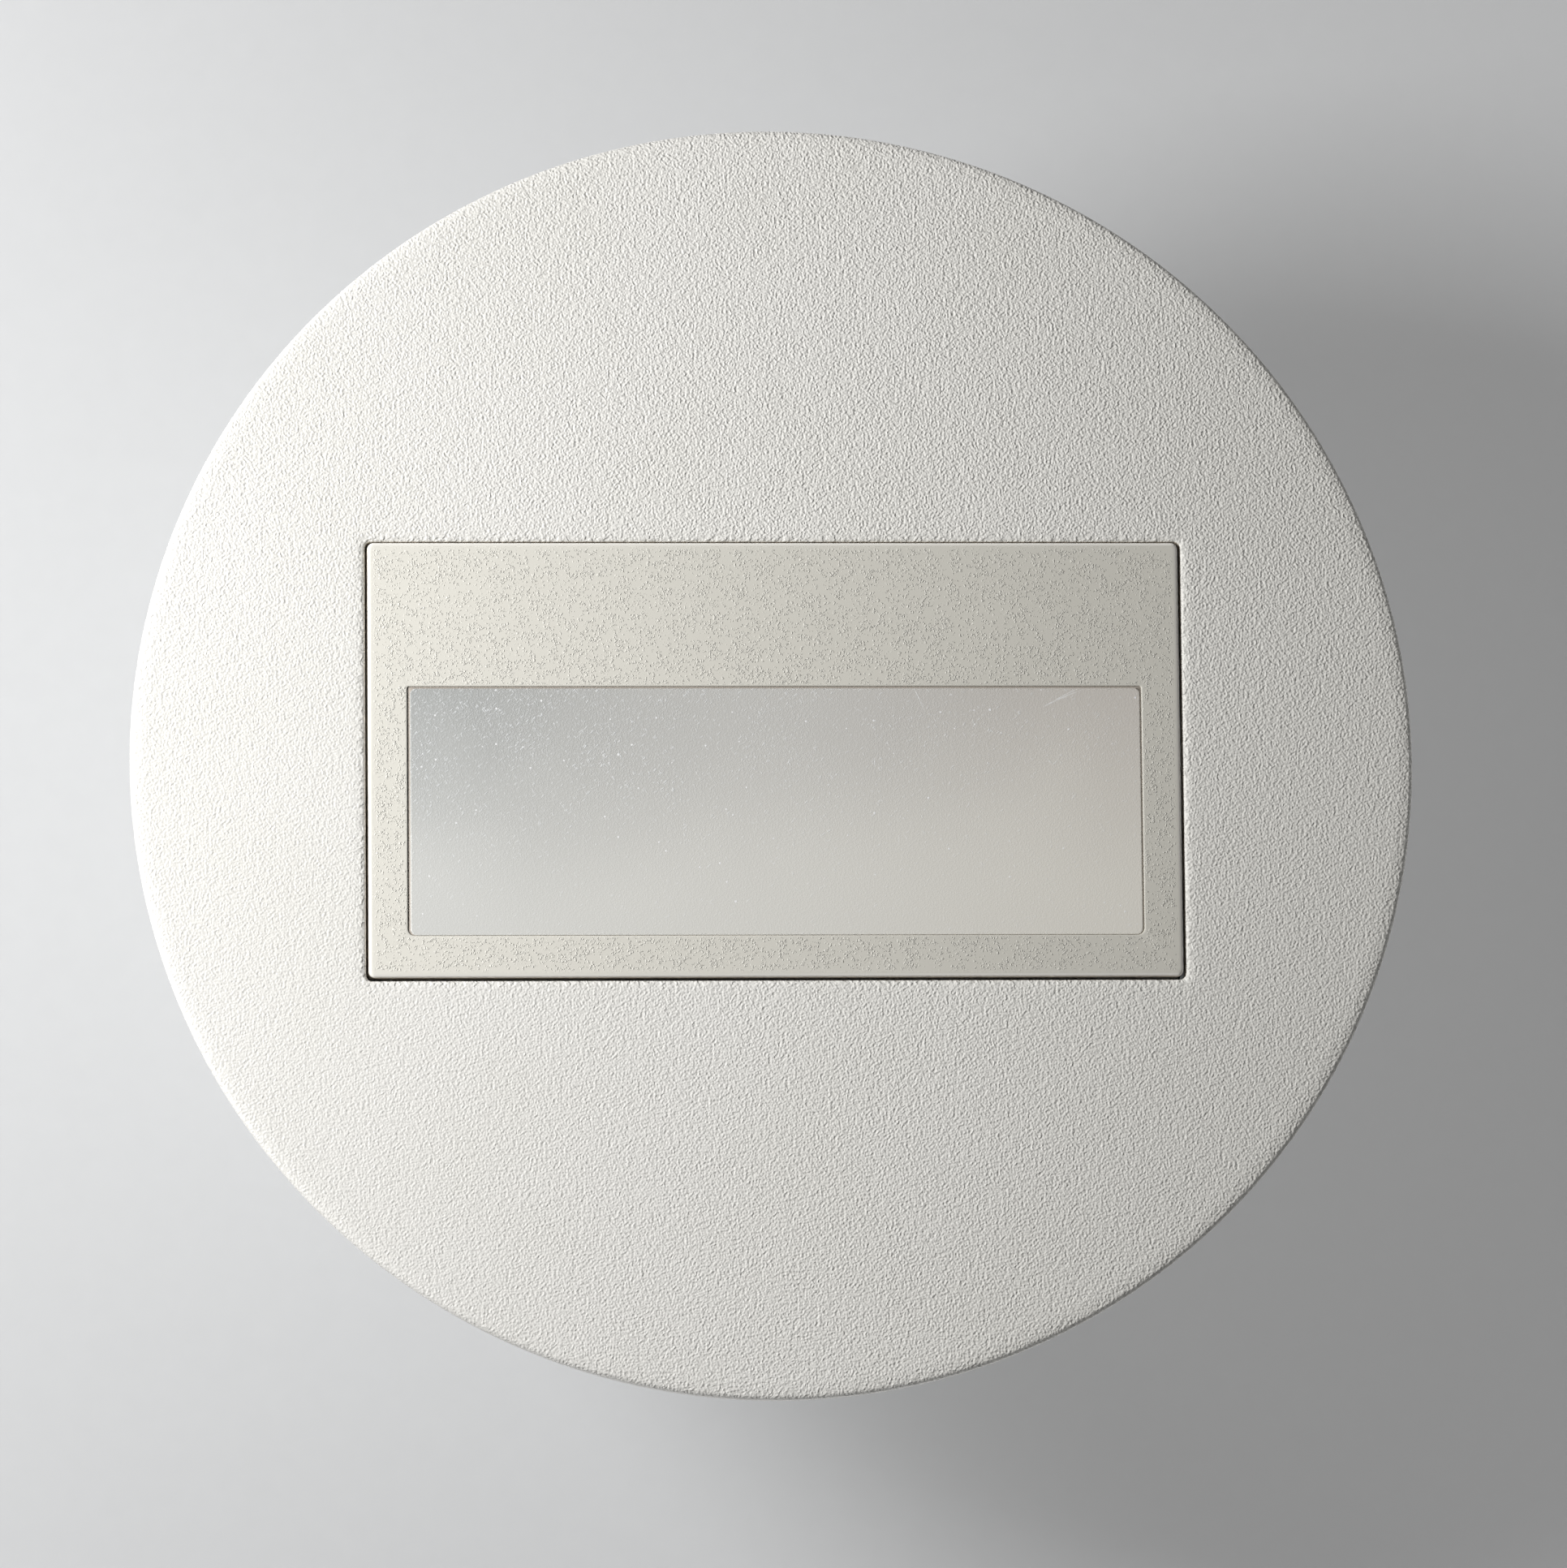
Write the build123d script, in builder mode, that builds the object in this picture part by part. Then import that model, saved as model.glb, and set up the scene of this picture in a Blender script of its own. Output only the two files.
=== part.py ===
from build123d import *
import os
from math import asin, atan2, cos, degrees, hypot, pi, radians, sin, sqrt

# A round recessed step light. A powder coated cover is held by magnets on a steel support plate,
# and a light insert with a low frosted window shows through its opening. A plastic can behind the
# plate holds the heat spreader, the driver board and the wire terminals.
# Millimetres. +Z points out of the wall, +Y up the wall. The origin is the centre of the support
# plate's back face. The wall starts behind the foam seal on that face.

os.makedirs("parts", exist_ok=True)

# Front cover
cover_diameter = 80.0
cover_skin = 1.2
cover_rim_width = 3.0
cover_wall_gap = 0.2
cover_edge_radius = 0.8
cover_back_chamfer = 1.2
opening_width = 51.0
opening_height = 27.6
opening_corner_radius = 0.4
opening_edge_radius = 0.15

# Cover magnets
magnet_diameter = 6.0
magnet_thickness = 1.0
magnet_pocket_depth = 0.2
magnet_pocket_gap = 0.1
magnet_air_gap = 0.05
magnet_rim_gap = 4.0
magnet_angle = 60.0

# Support plate and its slots for the wall box
plate_thickness = 1.2
plate_rim_gap = 1.0
plate_frame_gap = 0.1
slot_frame_land = 1.6
slot_length = 6.0
slot_width = 3.6

# Foam seal between the plate and the wall
seal_thickness = 0.6
seal_width = 1.6
seal_rim_gap = 0.2

# Light insert
frame_gap = 0.2
frame_proud = 0.05
frame_corner_radius = 0.4
frame_edge_radius = 0.35
frame_front_wall = 1.25
frame_rib = 1.3
frame_top_wall = 1.6
frame_flange_thickness = 2.0
window_side_border = 2.4
window_low_border = 2.53
window_high_border = 9.07
window_ledge = 0.9
window_low_radius = 0.45
window_high_radius = 0.15

# Diffuser, its gasket and the light box
diffuser_gap = 0.08
diffuser_recess = 0.05
diffuser_flange = 1.2
diffuser_gasket_thickness = 0.4
chamber_gap = 0.1
light_box_depth = 6.4
light_box_wall = 1.3
light_box_flare = 2.4

# LED board
led_count = 6
led_length = 3.5
led_width = 2.8
led_height = 0.7
led_lens_wall = 0.35
led_lens_depth = 0.2
led_slot_margin = 0.75
led_board_thickness = 1.6
led_board_margin = 0.3
led_board_edge = 0.1
led_board_screw_gap = 0.2
led_board_screw_inset = 7.4
thermal_pad_thickness = 0.5
thermal_pad_margin = 0.3

# Heat spreader
spreader_thickness = 2.0
spreader_gap = 0.3
spreader_notch_margin = 1.2

# Rear housing
can_corner_margin = 0.28
can_side_margin = 0.7
can_flat_margin = 9.4
can_wall = 1.6
can_floor = 1.8
can_back_chamfer = 1.0
housing_gasket_thickness = 0.5
housing_gasket_width = 1.4
housing_gasket_notch_gap = 0.1
module_boss_radius = 2.9
module_boss_inset = 3.4
module_boss_flat_inset = 4.28
post_radius = 2.2
post_side_inset = 7.0
post_upper_drop = 6.52
post_lower_step = 7.46
post_flat_inset = 6.5
board_boss_radius = 2.0

# Driver board and what stands on it
driver_front_space = 5.9
driver_board_thickness = 1.6
driver_board_gap = 0.8
driver_screw_inset = 3.0
capacitor_radius = 3.15
capacitor_floor_gap = 0.3
solder_gap = 0.05

# Screws
module_screw_radius = 1.25
module_screw_length = 10.8
module_head_radius = 2.3
module_hole_radius = 1.4
small_screw_radius = 1.0
small_screw_length = 6.0
small_head_radius = 1.9
small_head_height = 1.2
small_head_rounding = 0.7
screw_tip_chamfer = 0.4
thread_gap = 0.02
hole_spare_depth = 0.8
recess_width = 0.6
recess_depth = 0.5
recess_land = 0.7
head_gap = 0.05

# LED leads
lead_diameter = 1.0
lead_spacing = 6.0
lead_bend_radius = 3.0
lead_land = 3.0

# Terminal block
pole_count = 3
pole_pitch = 5.0
terminal_end_wall = 1.0
terminal_depth = 10.0
terminal_recess = 1.0
terminal_edge_margin = 1.0
terminal_hole_gap = 0.3
entry_radius = 1.25
entry_chamfer = 0.35
entry_offset = 2.6
clamp_room_width = 4.0
clamp_room_wall = 1.2
button_width = 2.9
button_height = 2.3
button_offset = 2.0
button_gap = 0.15
button_proud = 0.7
button_travel = 1.2
button_spare_travel = 0.5
button_foot_width = 3.7
button_foot_height = 0.6
contact_thickness = 0.3
contact_width = 3.0
contact_pin_radius = 0.4

# Fixing clips
clip_width = 10.0
clip_sheet = 0.9
clip_cheek_radius = 2.3
clip_reach = 11.3
clip_least_wall = 2.2
clip_pin_radius = 1.0
clip_pin_out = 3.6
clip_pin_depth = 8.0
clip_pin_fit = 0.01
clip_pin_running_gap = 0.06
clip_pin_end = 0.4
ear_gap = 0.4
ear_thickness = 2.0
ear_radius = 2.5
sleeve_length = 4.5
sleeve_wall = 0.5
sleeve_rounding = 0.4

# Torsion springs of the clips
spring_wire = 0.6
spring_mean_radius = 1.9
spring_pitch = 1.1
spring_turns = 4
spring_arm_leg = 6.0
spring_wall_leg = 3.1
spring_rest_height = 1.0
spring_rest_gap = 0.2

# Heights, from the support plate outwards
magnet_back_z = plate_thickness + magnet_air_gap
recess_floor_z = magnet_back_z + magnet_thickness - magnet_pocket_depth
cover_front_z = recess_floor_z + cover_skin
frame_front_z = cover_front_z + frame_proud
frame_inner_z = frame_front_z - frame_front_wall
diffuser_front_z = frame_front_z - diffuser_recess
diffuser_shoulder_z = frame_inner_z - diffuser_gasket_thickness
diffuser_back_z = diffuser_shoulder_z - diffuser_flange

# Heights, from the light box backwards
led_board_front_z = diffuser_back_z - light_box_depth
led_board_back_z = led_board_front_z - led_board_thickness
spreader_front_z = led_board_back_z - thermal_pad_thickness
spreader_back_z = spreader_front_z - spreader_thickness
driver_front_z = spreader_back_z - driver_front_space
driver_back_z = driver_front_z - driver_board_thickness
floor_front_z = driver_back_z - 2 * capacitor_radius - capacitor_floor_gap
can_back_z = floor_front_z - can_floor
flange_back_z = -frame_flange_thickness
can_rim_z = flange_back_z - housing_gasket_thickness
terminal_face_z = can_back_z + terminal_recess

# Plan sizes that follow from the values above
recess_radius = cover_diameter / 2 - cover_rim_width
plate_radius = recess_radius - plate_rim_gap
magnet_circle_radius = recess_radius - magnet_rim_gap - magnet_diameter / 2
frame_width = opening_width - 2 * frame_gap
frame_height = opening_height - 2 * frame_gap
slot_x = frame_width / 2 + plate_frame_gap + slot_frame_land + slot_length / 2
window_width = frame_width - 2 * window_side_border
window_height = frame_height - window_low_border - window_high_border
window_y = (window_low_border - window_high_border) / 2
chamber_width = window_width + 2 * window_ledge
chamber_height = window_height + 2 * window_ledge
chamber_top_y = window_y + chamber_height / 2
box_width = chamber_width - 2 * chamber_gap
box_height = chamber_height - 2 * chamber_gap
upper_room_low_y = chamber_top_y + frame_rib
upper_room_high_y = frame_height / 2 - frame_top_wall
led_slot_width = box_width - 2 * (light_box_wall + light_box_flare)
led_pitch = (led_slot_width - 2 * led_slot_margin - led_length) / (led_count - 1)
led_slot_height = led_width + 2 * led_slot_margin
led_board_width = box_width - 2 * led_board_margin
led_board_low_y = window_y - box_height / 2 + led_board_margin
led_board_screw_y = window_y + box_height / 2 + led_board_screw_gap + small_head_radius
led_board_high_y = led_board_screw_y + small_head_radius + led_board_edge
led_board_height = led_board_high_y - led_board_low_y
led_board_y = (led_board_high_y + led_board_low_y) / 2
led_board_screw_x = led_board_width / 2 - led_board_screw_inset
lead_drop_y = led_board_high_y + lead_bend_radius
can_radius = hypot(frame_width / 2, frame_height / 2) + can_corner_margin
can_width = frame_width + 2 * can_side_margin
can_height = frame_height + 2 * can_flat_margin
module_screw_circle = can_radius - module_boss_inset
module_screw_y = can_height / 2 - module_boss_flat_inset
module_screw_x = sqrt(module_screw_circle**2 - module_screw_y**2)
post_upper_x = can_width / 2 - post_side_inset
post_upper_y = module_screw_y - post_upper_drop
post_lower_x = module_screw_x - post_lower_step
post_lower_y = can_height / 2 - post_flat_inset
driver_board_width = 2 * (post_upper_x - post_radius - driver_board_gap)
driver_low_y = -(post_lower_y - post_radius - driver_board_gap)
driver_high_y = module_screw_y - module_boss_radius - driver_board_gap
driver_board_height = driver_high_y - driver_low_y
driver_board_y = (driver_high_y + driver_low_y) / 2
driver_screw_x = driver_board_width / 2 - driver_screw_inset
terminal_width = (pole_count - 1) * pole_pitch + clamp_room_width + 2 * terminal_end_wall
terminal_y = driver_low_y + terminal_edge_margin + terminal_depth / 2
clamp_room_height = button_foot_height + button_travel + button_spare_travel + contact_thickness
clip_pin_y = can_height / 2 + clip_pin_out
clip_pin_z = -clip_pin_depth
ear_inner_x = clip_width / 2 + ear_gap

# Clip arm, by its distance along and square to the line from its pin. At rest the corner of its
# sleeve stands off the seal by the thinnest wall that the clip still grips.
arm_low = -(spring_mean_radius - spring_wire / 2)
arm_high = arm_low + clip_sheet
arm_start = spring_mean_radius + spring_wire
cheek_length = 2 * arm_start
sleeve_end = clip_reach + sleeve_wall
sleeve_high = arm_high + sleeve_wall
rest_rise = -seal_thickness - clip_least_wall - clip_pin_z
clip_angle = asin(rest_rise / hypot(sleeve_end, sleeve_high)) - atan2(sleeve_high, sleeve_end)

magnet_places = [
    (magnet_circle_radius * cos(radians(a)), magnet_circle_radius * sin(radians(a)))
    for a in (magnet_angle, 180 - magnet_angle, 180 + magnet_angle, 360 - magnet_angle)
]
module_screw_places = [(i * module_screw_x, j * module_screw_y) for i in (-1, 1) for j in (-1, 1)]
spreader_screw_places = [
    (-post_upper_x, post_upper_y),
    (post_upper_x, post_upper_y),
    (-post_lower_x, -post_lower_y),
    (post_lower_x, -post_lower_y),
]
driver_screw_places = [
    (i * driver_screw_x, y)
    for i in (-1, 1)
    for y in (driver_low_y + driver_screw_inset, driver_high_y - driver_screw_inset)
]
led_board_screw_places = [(i * led_board_screw_x, led_board_screw_y) for i in (-1, 1)]
pole_places = [(i - (pole_count - 1) / 2) * pole_pitch for i in range(pole_count)]


# Outline of the can, its flange and its seals, drawn in by an inset: a circle with four flats
def can_outline(inset=0.0, mode=Mode.ADD):
    with BuildSketch(mode=Mode.PRIVATE) as outline:
        Circle(can_radius - inset)
        Rectangle(can_width - 2 * inset, can_height - 2 * inset, mode=Mode.INTERSECT)
    add(outline.sketch, mode=mode)


# Cross recess of a screw head, as a flat shape
def cross_recess(head_radius):
    with BuildSketch(mode=Mode.PRIVATE) as cross:
        Rectangle(2 * (head_radius - recess_land), recess_width)
        Rectangle(recess_width, 2 * (head_radius - recess_land))
    add(cross.sketch)


# Pan head screw with the underside of its head at z = 0
def pan_screw(length):
    with BuildPart() as screw:
        with BuildSketch(Plane.XY):
            Circle(small_screw_radius)
        extrude(amount=-length)
        chamfer(screw.edges().sort_by(Axis.Z)[0], screw_tip_chamfer)
        with BuildSketch(Plane.XY):
            Circle(small_head_radius)
        extrude(amount=small_head_height)
        fillet(screw.edges().sort_by(Axis.Z)[-1], small_head_rounding)
        with BuildSketch(Plane.XY.offset(small_head_height)):
            cross_recess(small_head_radius)
        extrude(amount=-recess_depth, mode=Mode.SUBTRACT)
    return screw.part


# Countersunk screw with the top of its head at z = 0
def countersunk_screw():
    cone_depth = module_head_radius - module_screw_radius
    with BuildPart() as screw:
        with BuildSketch(Plane.XZ):
            with BuildLine():
                Polyline(
                    (0, 0),
                    (module_head_radius, 0),
                    (module_screw_radius, -cone_depth),
                    (module_screw_radius, -module_screw_length + module_screw_radius),
                    (0, -module_screw_length),
                    close=True,
                )
            make_face()
        revolve(axis=Axis.Z)
        with BuildSketch(Plane.XY):
            cross_recess(module_head_radius)
        extrude(amount=-recess_depth, mode=Mode.SUBTRACT)
    return screw.part


# Front cover: a plate with a hollow back, an opening for the insert and four magnet pockets
with BuildPart() as front_cover:
    with BuildSketch(Plane.XY.offset(cover_wall_gap)):
        Circle(cover_diameter / 2)
    extrude(amount=cover_front_z - cover_wall_gap)
    fillet(front_cover.edges().sort_by(Axis.Z)[-1], cover_edge_radius)
    chamfer(front_cover.edges().sort_by(Axis.Z)[0], cover_back_chamfer)
    with BuildSketch(Plane.XY.offset(cover_wall_gap)):
        Circle(recess_radius)
    extrude(amount=recess_floor_z - cover_wall_gap, mode=Mode.SUBTRACT)
    with BuildSketch(Plane.XY.offset(recess_floor_z)):
        RectangleRounded(opening_width, opening_height, opening_corner_radius)
    extrude(amount=cover_skin, mode=Mode.SUBTRACT)
    opening_edges = front_cover.faces().sort_by(Axis.Z)[-1].inner_wires().edges()
    fillet(opening_edges, opening_edge_radius)
    with BuildSketch(Plane.XY.offset(recess_floor_z)):
        with Locations(*magnet_places):
            Circle(magnet_diameter / 2 + magnet_pocket_gap)
    extrude(amount=magnet_pocket_depth, mode=Mode.SUBTRACT)
front_cover.part.label = "front_cover"

# Four disc magnets, glued into the pockets behind the cover
with BuildPart() as cover_magnets:
    with BuildSketch(Plane.XY.offset(magnet_back_z)):
        with Locations(*magnet_places):
            Circle(magnet_diameter / 2)
    extrude(amount=magnet_thickness)
cover_magnets.part.label = "cover_magnets"

# Support plate: the magnets hold on it, and two slots take the screws of a wall box
with BuildPart() as support_plate:
    with BuildSketch(Plane.XY):
        Circle(plate_radius)
        Rectangle(
            frame_width + 2 * plate_frame_gap, frame_height + 2 * plate_frame_gap, mode=Mode.SUBTRACT
        )
        with Locations((-slot_x, 0), (slot_x, 0)):
            SlotOverall(slot_length, slot_width, mode=Mode.SUBTRACT)
    extrude(amount=plate_thickness)
    with Locations(*[(x, y, plate_thickness) for x, y in module_screw_places]):
        CounterSinkHole(module_hole_radius, module_head_radius + head_gap, plate_thickness, 90)
support_plate.part.label = "support_plate"

# Foam ring between the plate and the wall, outside the hole in the wall
with BuildPart() as wall_seal:
    with BuildSketch(Plane.XY.offset(-seal_thickness)):
        Circle(plate_radius - seal_rim_gap)
        Circle(plate_radius - seal_rim_gap - seal_width, mode=Mode.SUBTRACT)
    extrude(amount=seal_thickness)
wall_seal.part.label = "wall_seal"

# Bezel of the insert: its front lies level with the cover, and its flange lies behind the plate
with BuildPart() as module_frame:
    with BuildSketch(Plane.XY):
        RectangleRounded(frame_width, frame_height, frame_corner_radius)
    extrude(amount=frame_front_z)
    fillet(module_frame.edges().group_by(Axis.Z)[-1], frame_edge_radius)
    with BuildSketch(Plane.XY.offset(flange_back_z)):
        can_outline()
        with Locations(*module_screw_places):
            Circle(module_hole_radius, mode=Mode.SUBTRACT)
    extrude(amount=frame_flange_thickness)
    room_depth = frame_inner_z - flange_back_z
    with BuildSketch(Plane.XY.offset(flange_back_z)):
        with Locations((0, window_y)):
            Rectangle(chamber_width, chamber_height)
        with Locations((0, (upper_room_low_y + upper_room_high_y) / 2)):
            Rectangle(chamber_width, upper_room_high_y - upper_room_low_y)
    extrude(amount=room_depth, mode=Mode.SUBTRACT)
    with BuildSketch(Plane.XY.offset(frame_inner_z)) as window:
        with Locations((0, window_y)):
            Rectangle(window_width, window_height)
        fillet(window.vertices().group_by(Axis.Y)[0], window_low_radius)
        fillet(window.vertices().group_by(Axis.Y)[-1], window_high_radius)
    extrude(amount=frame_front_wall, mode=Mode.SUBTRACT)
module_frame.part.label = "module_frame"

# Thin ring between the bezel and the edge of the diffuser
with BuildPart() as diffuser_gasket:
    with BuildSketch(Plane.XY.offset(diffuser_shoulder_z)):
        with Locations((0, window_y)):
            Rectangle(box_width, box_height)
            Rectangle(window_width, window_height, mode=Mode.SUBTRACT)
    extrude(amount=diffuser_gasket_thickness)
diffuser_gasket.part.label = "diffuser_gasket"

# Frosted window: a step that fills the bezel's window, with a flange behind it
with BuildPart() as diffuser:
    with BuildSketch(Plane.XY.offset(diffuser_back_z)):
        with Locations((0, window_y)):
            Rectangle(box_width, box_height)
    extrude(amount=diffuser_flange)
    with BuildSketch(Plane.XY.offset(diffuser_shoulder_z)) as step:
        with Locations((0, window_y)):
            Rectangle(window_width - 2 * diffuser_gap, window_height - 2 * diffuser_gap)
        fillet(step.vertices().group_by(Axis.Y)[0], window_low_radius - diffuser_gap)
        fillet(step.vertices().group_by(Axis.Y)[-1], window_high_radius - diffuser_gap)
    extrude(amount=diffuser_front_z - diffuser_shoulder_z)
diffuser.part.label = "diffuser"

# Light box: white walls that slope from the row of LEDs out to the diffuser
with BuildPart() as light_box:
    with BuildSketch(Plane.XY.offset(led_board_front_z)):
        with Locations((0, window_y)):
            Rectangle(box_width, box_height)
    extrude(amount=light_box_depth)
    with BuildSketch(Plane.XY.offset(led_board_front_z)):
        with Locations((0, window_y)):
            Rectangle(led_slot_width, led_slot_height)
    with BuildSketch(Plane.XY.offset(diffuser_back_z)):
        with Locations((0, window_y)):
            Rectangle(box_width - 2 * light_box_wall, box_height - 2 * light_box_wall)
    loft(mode=Mode.SUBTRACT)
light_box.part.label = "light_box"

# Aluminium circuit board that carries the LEDs
with BuildPart() as led_board:
    with BuildSketch(Plane.XY.offset(led_board_back_z)):
        with Locations((0, led_board_y)):
            Rectangle(led_board_width, led_board_height)
        with Locations(*led_board_screw_places):
            Circle(small_screw_radius + thread_gap, mode=Mode.SUBTRACT)
    extrude(amount=led_board_thickness)
led_board.part.label = "led_board"

# Row of LEDs, each a moulded cup with a shallow lens well
with BuildPart() as led_chips:
    with BuildSketch(Plane.XY.offset(led_board_front_z)):
        with Locations((0, window_y)):
            with GridLocations(led_pitch, 0, led_count, 1):
                Rectangle(led_length, led_width)
    extrude(amount=led_height)
    with BuildSketch(Plane.XY.offset(led_board_front_z + led_height)):
        with Locations((0, window_y)):
            with GridLocations(led_pitch, 0, led_count, 1):
                Rectangle(led_length - 2 * led_lens_wall, led_width - 2 * led_lens_wall)
    extrude(amount=-led_lens_depth, mode=Mode.SUBTRACT)
led_chips.part.label = "led_chips"

# Soft pad that takes the heat from the LED board to the spreader
with BuildPart() as thermal_pad:
    with BuildSketch(Plane.XY.offset(spreader_front_z)):
        with Locations((0, led_board_y)):
            Rectangle(led_board_width - 2 * thermal_pad_margin, led_board_height - 2 * thermal_pad_margin)
        with Locations(*led_board_screw_places):
            Circle(small_screw_radius + thread_gap, mode=Mode.SUBTRACT)
    extrude(amount=thermal_pad_thickness)
thermal_pad.part.label = "thermal_pad"

# Heat spreader: an aluminium plate on four posts, notched for the screw bosses and the leads
with BuildPart() as heat_spreader:
    with BuildSketch(Plane.XY.offset(spreader_back_z)):
        can_outline(can_wall + spreader_gap)
        with Locations(*module_screw_places):
            Circle(module_boss_radius + spreader_gap, mode=Mode.SUBTRACT)
        with Locations(*spreader_screw_places, *led_board_screw_places):
            Circle(small_screw_radius + thread_gap, mode=Mode.SUBTRACT)
        with Locations((0, lead_drop_y)):
            Rectangle(
                lead_spacing + lead_diameter + 2 * spreader_notch_margin,
                lead_diameter + 2 * spreader_notch_margin,
                mode=Mode.SUBTRACT,
            )
    extrude(amount=spreader_thickness)
heat_spreader.part.label = "heat_spreader"

# Two screws hold the LED board on the spreader, and four hold the spreader on its posts
with BuildPart() as led_board_screws:
    with Locations(*[(x, y, led_board_front_z) for x, y in led_board_screw_places]):
        add(pan_screw(led_board_front_z - spreader_back_z))
led_board_screws.part.label = "led_board_screws"

with BuildPart() as spreader_screws:
    with Locations(*[(x, y, spreader_front_z) for x, y in spreader_screw_places]):
        add(pan_screw(small_screw_length))
spreader_screws.part.label = "spreader_screws"

# Flat seal between the bezel's flange and the rim of the can, notched round the screw bosses
with BuildPart() as housing_gasket:
    with BuildSketch(Plane.XY.offset(can_rim_z)):
        can_outline()
        can_outline(housing_gasket_width, mode=Mode.SUBTRACT)
        with Locations(*module_screw_places):
            Circle(module_boss_radius + housing_gasket_notch_gap, mode=Mode.SUBTRACT)
    extrude(amount=housing_gasket_thickness)
housing_gasket.part.label = "housing_gasket"

# Rear housing: a can with screw bosses, posts for the boards, an opening for the terminal
# block in its floor, and on each long flat two ears and a rest for a clip
with BuildPart() as rear_housing:
    with BuildSketch(Plane.XY.offset(can_back_z)):
        can_outline()
    extrude(amount=can_rim_z - can_back_z)
    chamfer(rear_housing.edges().group_by(Axis.Z)[0], can_back_chamfer)
    with BuildSketch(Plane.XY.offset(floor_front_z)):
        can_outline(can_wall)
    extrude(amount=can_rim_z - floor_front_z, mode=Mode.SUBTRACT)
    with BuildSketch(Plane.XY.offset(floor_front_z)):
        with Locations(*module_screw_places):
            Circle(module_boss_radius)
    extrude(amount=flange_back_z - floor_front_z)
    with BuildSketch(Plane.XY.offset(floor_front_z)):
        with Locations(*spreader_screw_places):
            Circle(post_radius)
    extrude(amount=spreader_back_z - floor_front_z)
    with BuildSketch(Plane.XY.offset(floor_front_z)):
        with Locations(*driver_screw_places):
            Circle(board_boss_radius)
    extrude(amount=driver_back_z - floor_front_z)
    with Locations(*[(x, y, flange_back_z) for x, y in module_screw_places]):
        Hole(
            module_screw_radius + thread_gap,
            module_screw_length - plate_thickness + flange_back_z + hole_spare_depth,
        )
    with Locations(*[(x, y, spreader_back_z) for x, y in spreader_screw_places]):
        Hole(
            small_screw_radius + thread_gap,
            small_screw_length - spreader_thickness + hole_spare_depth,
        )
    with Locations(*[(x, y, driver_back_z) for x, y in driver_screw_places]):
        Hole(
            small_screw_radius + thread_gap,
            small_screw_length - driver_board_thickness + hole_spare_depth,
        )
    with BuildSketch(Plane.XY.offset(can_back_z)):
        with Locations((0, terminal_y)):
            Rectangle(terminal_width + 2 * terminal_hole_gap, terminal_depth + 2 * terminal_hole_gap)
    extrude(amount=can_floor, mode=Mode.SUBTRACT)
    root_y = can_height / 2 - can_wall / 2
    rest_y = clip_pin_y - spring_mean_radius - spring_wire / 2 - spring_rest_gap
    rest_z = clip_pin_z - spring_mean_radius + spring_wire / 2 + spring_rest_height / 2
    for side in (1, -1):
        for ear_x in (ear_inner_x, -ear_inner_x - ear_thickness):
            with BuildSketch(Plane.YZ.offset(ear_x)):
                with Locations((side * clip_pin_y, clip_pin_z)):
                    Circle(ear_radius)
                with Locations((side * (clip_pin_y + root_y) / 2, clip_pin_z)):
                    Rectangle(clip_pin_y - root_y, 2 * ear_radius)
                with Locations((side * clip_pin_y, clip_pin_z)):
                    Circle(clip_pin_radius + clip_pin_fit, mode=Mode.SUBTRACT)
            extrude(amount=ear_thickness)
        leg_x = -side * spring_pitch * spring_turns / 2
        with BuildSketch(Plane.YZ.offset(leg_x - spring_pitch)):
            with Locations((side * (rest_y + root_y) / 2, rest_z)):
                Rectangle(rest_y - root_y, spring_rest_height)
        extrude(amount=2 * spring_pitch)
rear_housing.part.label = "rear_housing"

# Four countersunk screws pull the plate, the bezel's flange and the can together
with BuildPart() as module_screws:
    with Locations(*[(x, y, plate_thickness) for x, y in module_screw_places]):
        add(countersunk_screw())
module_screws.part.label = "module_screws"

# Driver board on four bosses, with holes for the terminal pins
with BuildPart() as driver_board:
    with BuildSketch(Plane.XY.offset(driver_back_z)):
        with Locations((0, driver_board_y)):
            Rectangle(driver_board_width, driver_board_height)
        with Locations(*driver_screw_places):
            Circle(small_screw_radius + thread_gap, mode=Mode.SUBTRACT)
        with Locations(*[(x, terminal_y) for x in pole_places]):
            Circle(contact_pin_radius + solder_gap, mode=Mode.SUBTRACT)
    extrude(amount=driver_board_thickness)
driver_board.part.label = "driver_board"

with BuildPart() as driver_board_screws:
    with Locations(*[(x, y, driver_front_z) for x, y in driver_screw_places]):
        add(pan_screw(small_screw_length))
driver_board_screws.part.label = "driver_board_screws"

# Parts on the front of the driver board. Their flat legs start under the body.
on_board = (Align.CENTER, Align.CENTER, Align.MIN)
leg_length = 1.0
leg_tuck = 0.1
bridge_length = 4.7
bridge_width = 3.9
bridge_height = 1.6
bridge_leg_pitch = 2.8
bridge_leg_width = 0.7
bridge_leg_thickness = 0.3
bridge_x = 10.2
bridge_y = -3.8
with BuildPart() as bridge_rectifier:
    with Locations((bridge_x, bridge_y, driver_front_z)):
        Box(bridge_length, bridge_width, bridge_height, align=on_board)
        with GridLocations(bridge_leg_pitch, bridge_width + leg_length - 2 * leg_tuck, 2, 2):
            Box(bridge_leg_width, leg_length, bridge_leg_thickness, align=on_board)
bridge_rectifier.part.label = "bridge_rectifier"

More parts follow.
